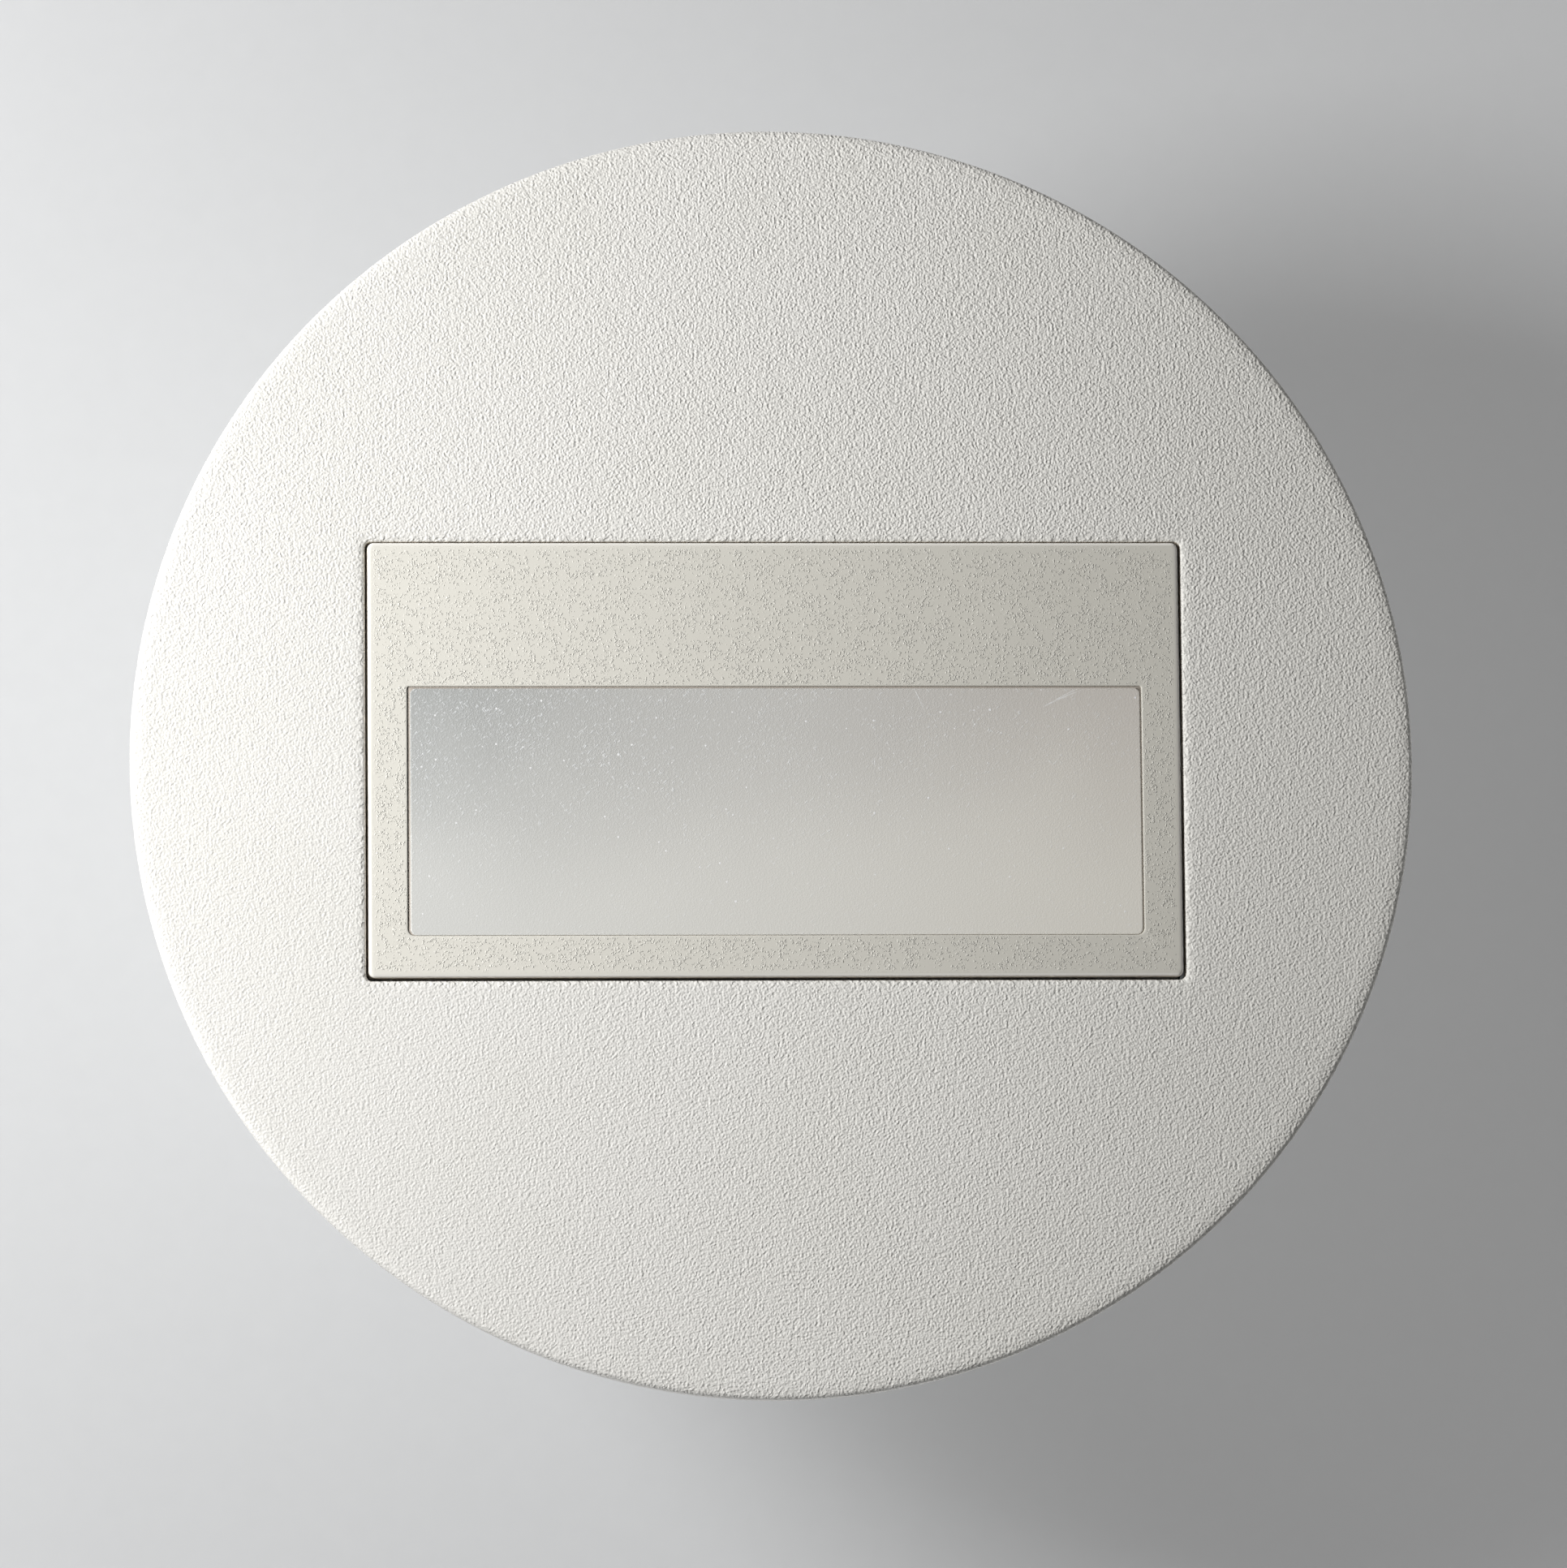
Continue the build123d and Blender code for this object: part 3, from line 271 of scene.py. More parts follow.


# Warm grey paint of the bezel: smooth, with clusters of tiny raised specks that stay off its edges. It
# has painted shade towards the right and on its sides by the gap, and a painted highlight on its rim
def bezel_paint():
    paint = Finish("warm_grey_bezel_paint", Specular_IOR_Level=0.4)
    rim = paint.frame_distance(bezel_width, bezel_height, bezel_x, bezel_y)
    away = paint.step(rim, -0.25, -0.6)
    window = paint.frame_distance(pane_width, pane_height, pane_x, pane_y)
    away = away * paint.step(window, 0.05, 0.2)
    cluster = paint.step(paint.noise(0.8, 3.0, 0.6), 0.34, 0.66)
    specks = paint.dots(0.155, cluster * 0.75 + 0.18, 0.6, paint.shaken(0.12, 0.22)) * away
    slow = paint.noise(1.6, 2.0) * 0.15
    paint.bump(specks + slow, 0.036)
    # Painted shade: the bezel grows darker towards the right, along a wavering line
    broad_ramp = paint.step(paint.x + paint.noise(9.0, 3.0) * 10.0 - 5.0, -28.0, 26.0)
    warm = paint.blend(broad_ramp, tone(236, 233, 223), tone(216, 213, 203))
    warm = paint.blend(specks * 0.15, warm, tone(244, 243, 239))
    # Painted highlight: the rim is lighter
    warm = paint.blend(paint.step(rim, -0.24, -0.08), warm, tone(252, 249, 242))
    # Painted shade: the bezel's sides below its front take the brown gap shade
    sunk = paint.step(rim, -0.12, -0.02) * paint.step(rim, 0.5, 0.3)
    sunk = sunk * paint.step(paint.z, bezel_front - 0.15, bezel_front - 0.4)
    sunk = sunk * paint.step(paint.z, 0.1, 0.5)
    paint.set("Base Color", paint.blend(sunk, warm, painted_gap_shade))
    paint.set("Roughness", paint.noise(0.6, 2.0) * 0.15 + 0.38)
    return paint.material


# Scratches on the window: where each starts, its angle, length and width
pane_scratches = (
    (16.9, 3.3, 23, 2.9, 0.05), (17.6, 3.7, 26, 2.0, 0.03), (8.6, 4.9, -66, 2.5, 0.028),
    (6.3, 0.1, -88, 0.8, 0.035), (7.8, -4.8, -97, 0.7, 0.025), (-12.2, 1.4, 48, 1.3, 0.02),
)


# Frosted window: painted shade makes it cooler and darker towards the top, and painted light lifts its
# right side and the middle of its top. It has fine short dashes, sparse bright specks painted as glints
# and a few faint scratches
def frost():
    glaze = Finish("frosted_window", Specular_IOR_Level=0.35, Coat_Roughness=0.3)
    down = (pane_y + pane_height / 2 - glaze.y) / pane_height
    across = (glaze.x - pane_x) / pane_width + 0.5
    # Painted light and shade: lighter at the bottom than at the top, lighter towards the right, and
    # lighter in the middle of the top
    cloud = glaze.noise(11.0, 2.0, 0.5)
    lit = glaze.step(down + cloud * 0.5 - 0.25, -0.1, 0.95)
    low = glaze.blend(across, tone(220, 220, 216), tone(238, 234, 224))
    top = glaze.blend(across, tone(178, 180, 178), tone(214, 208, 200))
    base = glaze.blend(lit, top, low)
    middle = glaze.step(abs(across - 0.5), 0.45, 0.0) * (1.0 - 0.7 * lit)
    base = glaze.blend(middle * 0.24, base, tone(236, 236, 232))
    dense = 0.3 + 0.7 * glaze.step(glaze.noise(4.0, 2.0), 0.25, 0.7)
    dense = dense * (1.0 - 0.6 * glaze.step(across, 0.1, 0.9))
    dense = dense * glaze.step(down, 0.9, 0.1)
    mist = glaze.noise(0.1, 1.0, 0.5, 0.8)
    haze = glaze.step(mist, 0.5, 0.62) * (0.05 + 0.12 * dense)
    base = glaze.blend(haze, base, tone(240, 243, 246))
    first = glaze.shaken(0.25, 0.2, glaze.turned(40, 1.8, 0.65))
    dashes = glaze.dots(0.25, 0.5 * dense + 0.13, 0.34, first, 0.5)
    second = glaze.shaken(0.25, 0.2, glaze.turned(-55, 1.6, 0.6))
    dashes = dashes + glaze.dots(0.28, 0.5 * dense + 0.08, 0.3, second, 0.5)
    base = glaze.blend(dashes * (0.24 + 0.3 * dense), base, tone(247, 249, 250))
    # Painted glints: sparse pure white specks
    sparks = glaze.dots(0.42, 0.05 + 0.1 * dense, 0.17, core=0.7)
    sparks = sparks + glaze.dots(0.8, 0.08, 0.11, core=0.7)
    base = glaze.blend(sparks, base, tone(255, 255, 255))
    scuffs = sum(glaze.scratch(*ends) for ends in pane_scratches)
    broken = glaze.step(glaze.noise(0.3, 2.0), 0.3, 0.55)
    base = glaze.blend(scuffs * (0.4 + 0.6 * broken), base, tone(242, 242, 240))
    # Painted shade: the sunken border round the raised face is a darker brownish grey
    border = glaze.step(glaze.z, bezel_front - 0.075, bezel_front - 0.095)
    glaze.set("Base Color", glaze.blend(border, base, tone(174, 166, 156)))
    glaze.set("Roughness", mist * 0.1 + 0.36)
    relief = glaze.maths("SINE", mist * 12.0) * (0.35 + 0.65 * dense)
    glaze.bump(relief + dashes * (0.6 + 1.2 * dense) + sparks, 0.005)
    return glaze.material


# Bright zinc on sheet steel: faint rolling lines, spangle and rainbow tint
def zinc(name, colour, lines=(14.0, 1.0, 14.0), rough=0.3):
    plate = Finish(name, Metallic=1.0)
    drawn = plate.noise(0.12, 3.0, 0.6, 0.0, plate.stretch(*lines))
    spangle = plate.node("SeparateColor", sockets={0: plate.cells(1.9, "Color")})
    tint = plate.blend(plate.step(plate.noise(6.0, 2.0), 0.35, 0.75), colour, tone(204, 204, 196))
    plate.set("Base Color", plate.blend(spangle * 0.25, tint, tone(226, 229, 233)))
    plate.set("Roughness", drawn * 0.25 + rough + spangle * 0.06)
    plate.bump(drawn, 0.004)
    return plate.material


# Spark eroded moulding: fine even grain, slow colour drift and a rubbed shine on its high spots
def moulded(name, colour, worn, grain=0.16, depth=0.012, rough=0.5):
    skin = Finish(name, Specular_IOR_Level=0.45)
    sparks = skin.noise(grain, 3.0, 0.6)
    broad_ramp = skin.step(skin.noise(8.0, 3.0, 0.55), 0.3, 0.75)
    skin.set("Base Color", skin.blend(broad_ramp * 0.5 + sparks * 0.2, colour, worn))
    skin.set("Roughness", sparks * 0.2 + broad_ramp * 0.08 + rough - 0.1)
    skin.bump(sparks, depth)
    return skin.material


# Turned or rolled metal with fine drawn lines
def drawn_metal(name, colour, lines=(1.0, 1.0, 12.0), rough=0.28, tint=None):
    metal = Finish(name, Metallic=1.0)
    grain = metal.noise(0.08, 3.0, 0.6, 0.0, metal.stretch(*lines))
    dull = metal.step(metal.noise(1.5, 3.0, 0.6), 0.4, 0.75)
    metal.set("Base Color", metal.blend(dull * 0.6, colour, tint or tone(150, 148, 142)))
    metal.set("Roughness", grain * 0.2 + dull * 0.15 + rough)
    metal.bump(grain, 0.003)
    return metal.material


# Closed cell foam: small open pores in a soft dark skin
def foam():
    cells = Finish("black_seal_foam", Specular_IOR_Level=0.2, Sheen_Weight=0.25)
    pores = cells.step(cells.cells(0.22), 0.45, 0.1)
    large = cells.dots(0.5, 0.25, 0.45)
    # Painted shade: the pores are darker than the skin
    cells.set("Base Color", cells.blend(cells.most(pores, large), tone(52, 52, 53), tone(20, 20, 21)))
    cells.set("Roughness", cells.noise(0.4) * 0.15 + 0.8)
    cells.bump(1.0 - cells.most(pores, large), 0.06)
    return cells.material


# Silicone and wire insulation: soft, slightly dusty, with a faint sheen
def rubber(name, colour, dust, rough=0.55):
    soft = Finish(name, Specular_IOR_Level=0.35, Sheen_Weight=0.12)
    grain = soft.noise(0.1, 2.0)
    bloom = soft.step(soft.noise(2.5, 3.0, 0.6), 0.35, 0.75)
    soft.set("Base Color", soft.blend(bloom * 0.35, colour, dust))
    soft.set("Roughness", grain * 0.12 + bloom * 0.15 + rough - 0.08)
    soft.bump(grain, 0.005)
    return soft.material


# Solder mask over copper: traces show as slightly raised, lighter bands
def solder_mask(name, colour, trace):
    mask = Finish(name, Specular_IOR_Level=0.5, Coat_Weight=0.3, Coat_Roughness=0.15)
    broad = mask.step(mask.cells(3.4, place=mask.stretch(1.6, 0.8, 1.0)), 0.42, 0.46)
    fine = mask.noise(0.05, 2.0)
    mask.set("Base Color", mask.blend(broad, trace, colour))
    mask.set("Roughness", fine * 0.12 + 0.28)
    mask.bump(fine * 0.2 + (1.0 - broad), 0.015)
    return mask.material


# Lacquered or dipped part bodies, with a slight orange peel
def lacquer(name, colour, shade, rough=0.3, peel=0.5):
    body = Finish(name, Specular_IOR_Level=0.5, Coat_Weight=0.25, Coat_Roughness=0.2)
    dimples = body.noise(peel, 2.0)
    body.set("Base Color", body.blend(body.step(body.noise(2.0, 3.0), 0.35, 0.7), colour, shade))
    body.set("Roughness", dimples * 0.15 + rough)
    body.bump(dimples, 0.01)
    return body.material


# LED: a white cup whose sunken lens is filled with yellow phosphor gel
def phosphor():
    led = Finish("led_cup_and_phosphor", Specular_IOR_Level=0.5)
    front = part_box("led_chips")[1].z / MM
    sunk = led.step(led.z, front - 0.08, front - 0.14)
    facing = led.node("SeparateXYZ", sockets={0: led.node("NewGeometry", output="Normal")}, output="Z")
    gel = sunk * led.step(facing, 0.7, 0.9)
    powder = led.blend(led.noise(0.15, 3.0), tone(232, 205, 78), tone(214, 178, 52))
    led.set("Base Color", led.blend(gel, tone(240, 239, 232), powder))
    led.set("Roughness", 0.5 - gel * 0.32)
    led.bump(led.noise(0.08, 2.0), 0.006)
    return led.material


finishes = {
    "cover_paint": powder_coat(),
    "bezel_paint": bezel_paint(),
    "diffuser_frost": frost(),
    "nickel": drawn_metal(
        "nickel_plate", tone(214, 210, 200), (1.0, 1.0, 1.0), 0.16, tone(176, 170, 158)
    ),
    "zinc_plate": zinc("zinc_plated_sheet", tone(208, 211, 214)),
    "seal_foam": foam(),
    "silicone_grey": rubber("grey_silicone", tone(150, 151, 151), tone(176, 176, 174)),
    "reflector_white": moulded(
        "white_reflector", tone(244, 243, 239), tone(236, 235, 230), 0.1, 0.006, 0.55
    ),
    "board_white": solder_mask("white_solder_mask", tone(240, 240, 236), tone(226, 228, 226)),
    "led_phosphor": phosphor(),
    "aluminium": zinc("milled_aluminium", tone(220, 221, 223), (18.0, 1.0, 18.0), 0.32),
    "screw_steel": drawn_metal("zinc_plated_screws", tone(205, 207, 210), (1.0, 1.0, 6.0)),
    "can_plastic": moulded("light_grey_can", tone(206, 206, 203), tone(196, 197, 195), 0.2, 0.02),
    "board_green": solder_mask("green_solder_mask", tone(24, 108, 62), tone(44, 134, 82)),
    "chip_black": moulded("black_package", tone(44, 44, 46), tone(60, 60, 62), 0.08, 0.006),
    "ferrite": moulded("grey_ferrite", tone(74, 74, 78), tone(94, 93, 96), 0.1, 0.01, 0.6),
    "capacitor_sleeve": lacquer("dark_shrink_sleeve", tone(34, 38, 66), tone(48, 53, 86)),
    "resistor_body": lacquer(
        "green_resistor_lacquer", tone(112, 152, 136), tone(96, 136, 120), 0.5, 0.25
    ),
    "film_box": lacquer("yellow_film_box", tone(222, 178, 62), tone(208, 162, 48), 0.35, 0.8),
    "varistor_coat": lacquer("blue_dipped_coat", tone(42, 92, 168), tone(30, 74, 146), 0.32, 0.9),
    "lead_red": rubber("red_insulation", tone(178, 34, 28), tone(196, 62, 54), 0.45),
    "lead_black": rubber("black_insulation", tone(34, 34, 35), tone(58, 58, 58), 0.45),
    "terminal_grey": moulded(
        "grey_terminal_block", tone(150, 152, 153), tone(166, 168, 168), 0.14, 0.01
    ),
    "button_white": moulded("white_button", tone(238, 238, 233), tone(226, 226, 220), 0.14, 0.008, 0.42),
    "button_green": moulded("green_button", tone(62, 146, 78), tone(82, 162, 96), 0.14, 0.008, 0.42),
    "contact_copper": drawn_metal(
        "tinned_copper", tone(222, 200, 168), (1.0, 8.0, 1.0), 0.25, tone(196, 150, 104)
    ),
    "spring_steel": drawn_metal("zinc_plated_spring", tone(202, 204, 208), (8.0, 1.0, 1.0), 0.26),
    "sleeve_silicone": rubber("clear_white_silicone", tone(232, 232, 228), tone(216, 215, 208), 0.4),
}

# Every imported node's materials are named by slot, and each gets the finish of that slot
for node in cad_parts.values():
    for place in node.material_slots:
        place.material = finishes[place.material.name]


# Pieces

merge_distance = 0.0005 * MM


def placed(name, data):
    """Puts a mesh, lamp or camera into the scene as an object."""
    made = bpy.data.objects.new(name, data)
    bpy.context.scene.collection.objects.link(made)
    return made


def piece_from(name, bm, slot, body, *nodes):
    """Makes a bmesh into a piece that stands for CAD nodes and moves with a body."""
    bmesh.ops.recalc_face_normals(bm, faces=bm.faces)
    mesh = bpy.data.meshes.new(name)
    bm.to_mesh(mesh)
    bm.free()
    for face in mesh.polygons:
        face.use_smooth = True
    mesh.set_sharp_from_angle(angle=radians(35))
    mesh.materials.append(finishes[slot])
    piece = placed(name, mesh)
    evened = piece.modifiers.new("even_shading", "WEIGHTED_NORMAL")
    evened.keep_sharp = True
    if body:
        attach(piece, body)
    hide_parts(*nodes)
    return piece


def round_edges(bm, radius, segments=3, keep=lambda edge: True, least_angle=30):
    """Rounds the edges that keep picks and whose faces meet at more than least_angle degrees."""
    sharp = [
        edge for edge in bm.edges
        if len(edge.link_faces) == 2
        and edge.calc_face_angle(0) > radians(least_angle)
        and keep(edge)
    ]
    bmesh.ops.bevel(
        bm, geom=sharp, offset=radius * MM, offset_type="OFFSET", affect="EDGES",
        segments=segments, profile=0.5, material=-1, clamp_overlap=True,
    )


def softened(name, node, radius, slot, body):
    """A CAD node's shape with its edges rounded, as its own piece."""
    bm = merged_copy(node)
    round_edges(bm, radius)
    piece_from(name, bm, slot, body, node)


def spun_shell(bm, profile):
    """Turns a profile of radius and height round the Z axis."""
    points = [bm.verts.new((radius * MM, 0, height * MM)) for radius, height in profile]
    line = [bm.edges.new(pair) for pair in zip(points, points[1:])]
    bmesh.ops.spin(
        bm, geom=points + line, cent=(0, 0, 0), axis=(0, 0, 1), angle=2 * pi, steps=256, use_merge=True
    )


def rounded_panel(bm, width, height, radius, at):
    """A flat rectangle with rounded corners, centred at a point."""
    middle = Vector(at) * MM
    spot = Matrix.Translation(middle) @ Matrix.Diagonal((width * MM, height * MM, 1, 1))
    made = bmesh.ops.create_grid(bm, x_segments=1, y_segments=1, size=0.5, matrix=spot)
    face = made["verts"][0].link_faces[0]
    bmesh.ops.bevel(
        bm, geom=list(face.verts), offset=radius * MM, offset_type="OFFSET", affect="VERTICES",
        segments=6, profile=0.5, material=-1,
    )
    level = [f for f in bm.faces if all(abs(v.co.z - middle.z) < 1e-7 for v in f.verts)]
    here = [f for f in level if (f.calc_center_median() - middle).length < 1e-5]
    return max(here, key=lambda f: len(f.verts))


def open_edges(bm, height):
    """The open edges at one height."""
    return [
        e for e in bm.edges
        if e.is_boundary and all(abs(v.co.z - height * MM) < 1e-7 for v in e.verts)
    ]


def fill_level(bm, height, side=1):
    """Closes the open edges at one height with triangles that look up, or down where side is -1."""
    edges = open_edges(bm, height)
    bmesh.ops.triangle_fill(bm, edges=edges, use_beauty=True, normal=(0, 0, side))


def verts_of(made):
    return [v for v in made["geom"] if isinstance(v, bmesh.types.BMVert)]


def faces_of(made, key="geom"):
    return [f for f in made[key] if isinstance(f, bmesh.types.BMFace)]


def pull_out(bm, faces, move):
    """Extrudes faces by a move in metres and gives the new ones at its end."""
    made = bmesh.ops.extrude_face_region(bm, geom=faces)
    bmesh.ops.translate(bm, verts=verts_of(made), vec=move)
    return faces_of(made)


def drop_faces(bm, faces):
    """Deletes those of the faces that are still there, and leaves their edges."""
    bmesh.ops.delete(bm, geom=[f for f in faces if f.is_valid], context="FACES_ONLY")


magnet_ring = 30.0
magnet_turns = [radians(angle) for angle in (60, 120, 240, 300)]
magnet_places = [(magnet_ring * cos(turn), magnet_ring * sin(turn)) for turn in magnet_turns]
pocket_radius = 3.1
pocket_depth = 0.2


def cover():
    """The cover: a shallow turned dish with a soft shoulder, cut through for the insert."""
    back = cover_low.z / MM
    inner_face = 2.05
    inner_radius = 37.0
    spun_from = 35.0
    chamfer = 1.2
    fall = 0.05
    nose = 0.34
    flat_edge = [
        (spun_from, cover_front), (cover_radius - 1.1, cover_front),
        (cover_radius - 0.7, cover_front - 0.02),
    ]
    shoulder = [
        (cover_radius - nose + nose * sin(a), cover_front - fall - nose * (1 - cos(a)))
        for a in [radians(angle) for angle in range(10, 91, 8)]
    ]
    wall_and_back = [
        (cover_radius - 0.02, cover_front - 1.0), (cover_radius - 0.12, back + chamfer),
        (cover_radius - chamfer, back), (inner_radius, back),
        (inner_radius, inner_face), (spun_from, inner_face),
    ]
    bm = bmesh.new()
    spun_shell(bm, flat_edge + shoulder + wall_and_back)
    rolls = (
        (0.3, 0.0), (0.26, 0.012), (0.18, 0.028), (0.1, 0.04), (0.06, 0.06), (0.03, 0.09), (0.03, 0.3),
    )
    tighter = 0.06
    land = sum(width for width, _ in rolls) - tighter
    fallen = sum(drop for _, drop in rolls)
    middle = (opening_x, opening_y, cover_front)
    face = rounded_panel(
        bm, opening_width + 2 * land, opening_height + 2 * land, opening_corner + land, middle
    )
    roll_over(bm, face, [(width, -drop) for width, drop in rolls])
    bottom = pull_out(bm, [face], (0, 0, (inner_face - cover_front + fallen) * MM))
    drop_faces(bm, bottom + [face])
    for x, y in magnet_places:
        spot = Matrix.Translation((x * MM, y * MM, inner_face * MM))
        pocket = bmesh.ops.create_circle(bm, segments=40, radius=pocket_radius * MM, matrix=spot)
        ring = list(dict.fromkeys(e for v in pocket["verts"] for e in v.link_edges))
        raised = verts_of(bmesh.ops.extrude_edge_only(bm, edges=ring))
        bmesh.ops.translate(bm, verts=raised, vec=(0, 0, pocket_depth * MM))
        bmesh.ops.contextual_create(bm, geom=raised)
    fill_level(bm, cover_front)
    fill_level(bm, inner_face, -1)
    bmesh.ops.remove_doubles(bm, verts=bm.verts, dist=merge_distance)
    round_edges(bm, 0.2, 3, lambda edge: edge.verts[0].co.z < (back + chamfer + 0.01) * MM)
    piece_from("cover_dish", bm, "cover_paint", "cover", "front_cover")


def merged_copy(node):
    """A CAD node's mesh as a bmesh, with its loose triangles joined."""
    bm = bmesh.new()
    bm.from_mesh(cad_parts[node].data)
    bmesh.ops.remove_doubles(bm, verts=bm.verts, dist=merge_distance)
    bmesh.ops.dissolve_limit(bm, angle_limit=radians(0.5), verts=bm.verts, edges=bm.edges)
    return bm


def cut_off_above(bm, height):
    """Drops everything above a height and leaves the cut open."""
    bmesh.ops.bisect_plane(
        bm, geom=bm.verts[:] + bm.edges[:] + bm.faces[:], dist=1e-7,
        plane_co=(0, 0, height * MM), plane_no=(0, 0, 1), clear_outer=True,
    )


def cap(bm, edges):
    """Closes a level loop of edges with one face that looks up."""
    face = bmesh.ops.contextual_create(bm, geom=edges)["faces"][0]
    face.normal_update()
    if face.normal.z < 0:
        face.normal_flip()
    return face


def raise_face(bm, face, rise, grow_x=0.0, grow_y=0.0):
    """Extrudes a level face upwards, and makes its outline wider and taller by grow_x and grow_y."""
    top = pull_out(bm, [face], (0, 0, rise * MM))[0]
    drop_faces(bm, [face])
    low = Vector(min(v.co[i] for v in top.verts) for i in range(3))
    high = Vector(max(v.co[i] for v in top.verts) for i in range(3))
    size = high - low
    bmesh.ops.scale(
        bm, verts=top.verts, vec=(1 + grow_x * MM / size.x, 1 + grow_y * MM / size.y, 1),
        space=Matrix.Translation(-(low + high) / 2),
    )
    return top


def roll_over(bm, face, steps):
    """Rounds the border of a face inwards and along its normal, by pairs of width and rise."""
    for width, rise in steps:
        bmesh.ops.inset_region(
            bm, faces=[face], thickness=width * MM, depth=rise * MM,
            use_boundary=True, use_even_offset=True,
        )


def shift_face(bm, face, x, y):
    """Moves a face level, in millimetres."""
    bmesh.ops.translate(bm, verts=face.verts, vec=(x * MM, y * MM, 0))


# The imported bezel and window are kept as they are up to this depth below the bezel's front. There
# a short slanted collar, the jog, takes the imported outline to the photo's
kept_below = 0.6
jog = 0.02


def bezel():
    """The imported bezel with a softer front: it rolls over at its border and at the window."""
    start = bezel_front - kept_below
    border = ((0.01, 0.08), (0.02, 0.07), (0.03, 0.05), (0.05, 0.035), (0.07, 0.02), (0.10, 0.01))
    lip = ((0.01, 0.02), (0.03, 0.02), (0.06, 0.008))
    bm = merged_copy("module_frame")
    cut_off_above(bm, start)
    loops = open_edges(bm, start)
    reach_x = (packed_hole_width / 2 + 0.05) * MM
    reach_y = (packed_hole_height / 2 + 0.05) * MM
    by_window = [
        e for e in loops
        if all(abs(v.co.x) < reach_x and abs(v.co.y - window_y * MM) < reach_y for v in e.verts)
    ]
    outer = [e for e in loops if e not in by_window]
    grow = (bezel_width - packed_bezel_width, bezel_height - packed_bezel_height)
    front = raise_face(bm, cap(bm, outer), jog, *grow)
    shift_face(bm, front, bezel_x, bezel_y)
    front = raise_face(bm, front, bezel_front - start - jog - sum(rise for _, rise in border))
    roll_over(bm, front, border)
    grow = (pane_width - packed_hole_width, pane_height - packed_hole_height)
    hole = raise_face(bm, cap(bm, by_window), jog, *grow)
    shift_face(bm, hole, pane_x, pane_y - window_y)
    hole = raise_face(bm, hole, bezel_front - start - jog - sum(rise for _, rise in lip))
    for out, rise in lip:
        hole = raise_face(bm, hole, rise, 2 * out, 2 * out)
    drop_faces(bm, [front, hole])
    fill_level(bm, bezel_front)
    piece_from("bezel", bm, "bezel_paint", "light_module", "module_frame")


def window_pane():
    """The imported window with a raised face. A narrow sunken border runs round it, widest at its
    sides and top, and a hairline gap parts it from the bezel at the left."""
    start = bezel_front - kept_below
    border_z = bezel_front - 0.10
    gap_left, gap_right, gap_top, gap_low = 0.05, 0.01, 0.01, 0.01
    left, right, top, low = 0.14, 0.09, 0.12, 0.02
    plateau_corner = 0.36
    plateau_side = 0.02
    rolls = ((0.01, 0.02), (0.02, 0.012), (0.05, 0.005))
    bm = merged_copy("diffuser")
    cut_off_above(bm, start)
    width = pane_width - gap_left - gap_right
    height = pane_height - gap_top - gap_low
    x = pane_x + (gap_left - gap_right) / 2
    y = pane_y + (gap_low - gap_top) / 2
    grow = (width - packed_pane_width, height - packed_pane_height)
    step = raise_face(bm, cap(bm, open_edges(bm, start)), jog, *grow)
    shift_face(bm, step, x, y - window_y)
    step = raise_face(bm, step, border_z - start - jog)
    drop_faces(bm, [step])
    middle = (x + (left - right) / 2, y + (low - top) / 2, border_z)
    face = rounded_panel(bm, width - left - right, height - top - low, plateau_corner, middle)
    face = raise_face(bm, face, plateau_side)
    roll_over(bm, face, rolls)
    fill_level(bm, border_z)
    piece_from("window_pane", bm, "diffuser_frost", "light_module", "diffuser")


cover()
bezel()
window_pane()
softened("foam_ring", "wall_seal", 0.14, "seal_foam", "light_module")
softened("can_gasket", "housing_gasket", 0.12, "silicone_grey", "light_module")
softened("window_gasket", "diffuser_gasket", 0.1, "silicone_grey", "light_module")
softened("heat_pad", "thermal_pad", 0.12, "silicone_grey", "light_module")
softened("top_sleeve", "clip_sleeve_top", 0.18, "sleeve_silicone", "clip_top")
softened("bottom_sleeve", "clip_sleeve_bottom", 0.18, "sleeve_silicone", "clip_bottom")


def wire_end(bm, at, radius, segments):
    """A round face across a wire that runs along Y, at a point in metres."""
    facing = Matrix.Translation(at) @ Matrix.Rotation(radians(-90), 4, "X")
    made = bmesh.ops.create_circle(
        bm, cap_ends=True, segments=segments, radius=radius, matrix=facing
    )
    return made["verts"][0].link_faces[0]


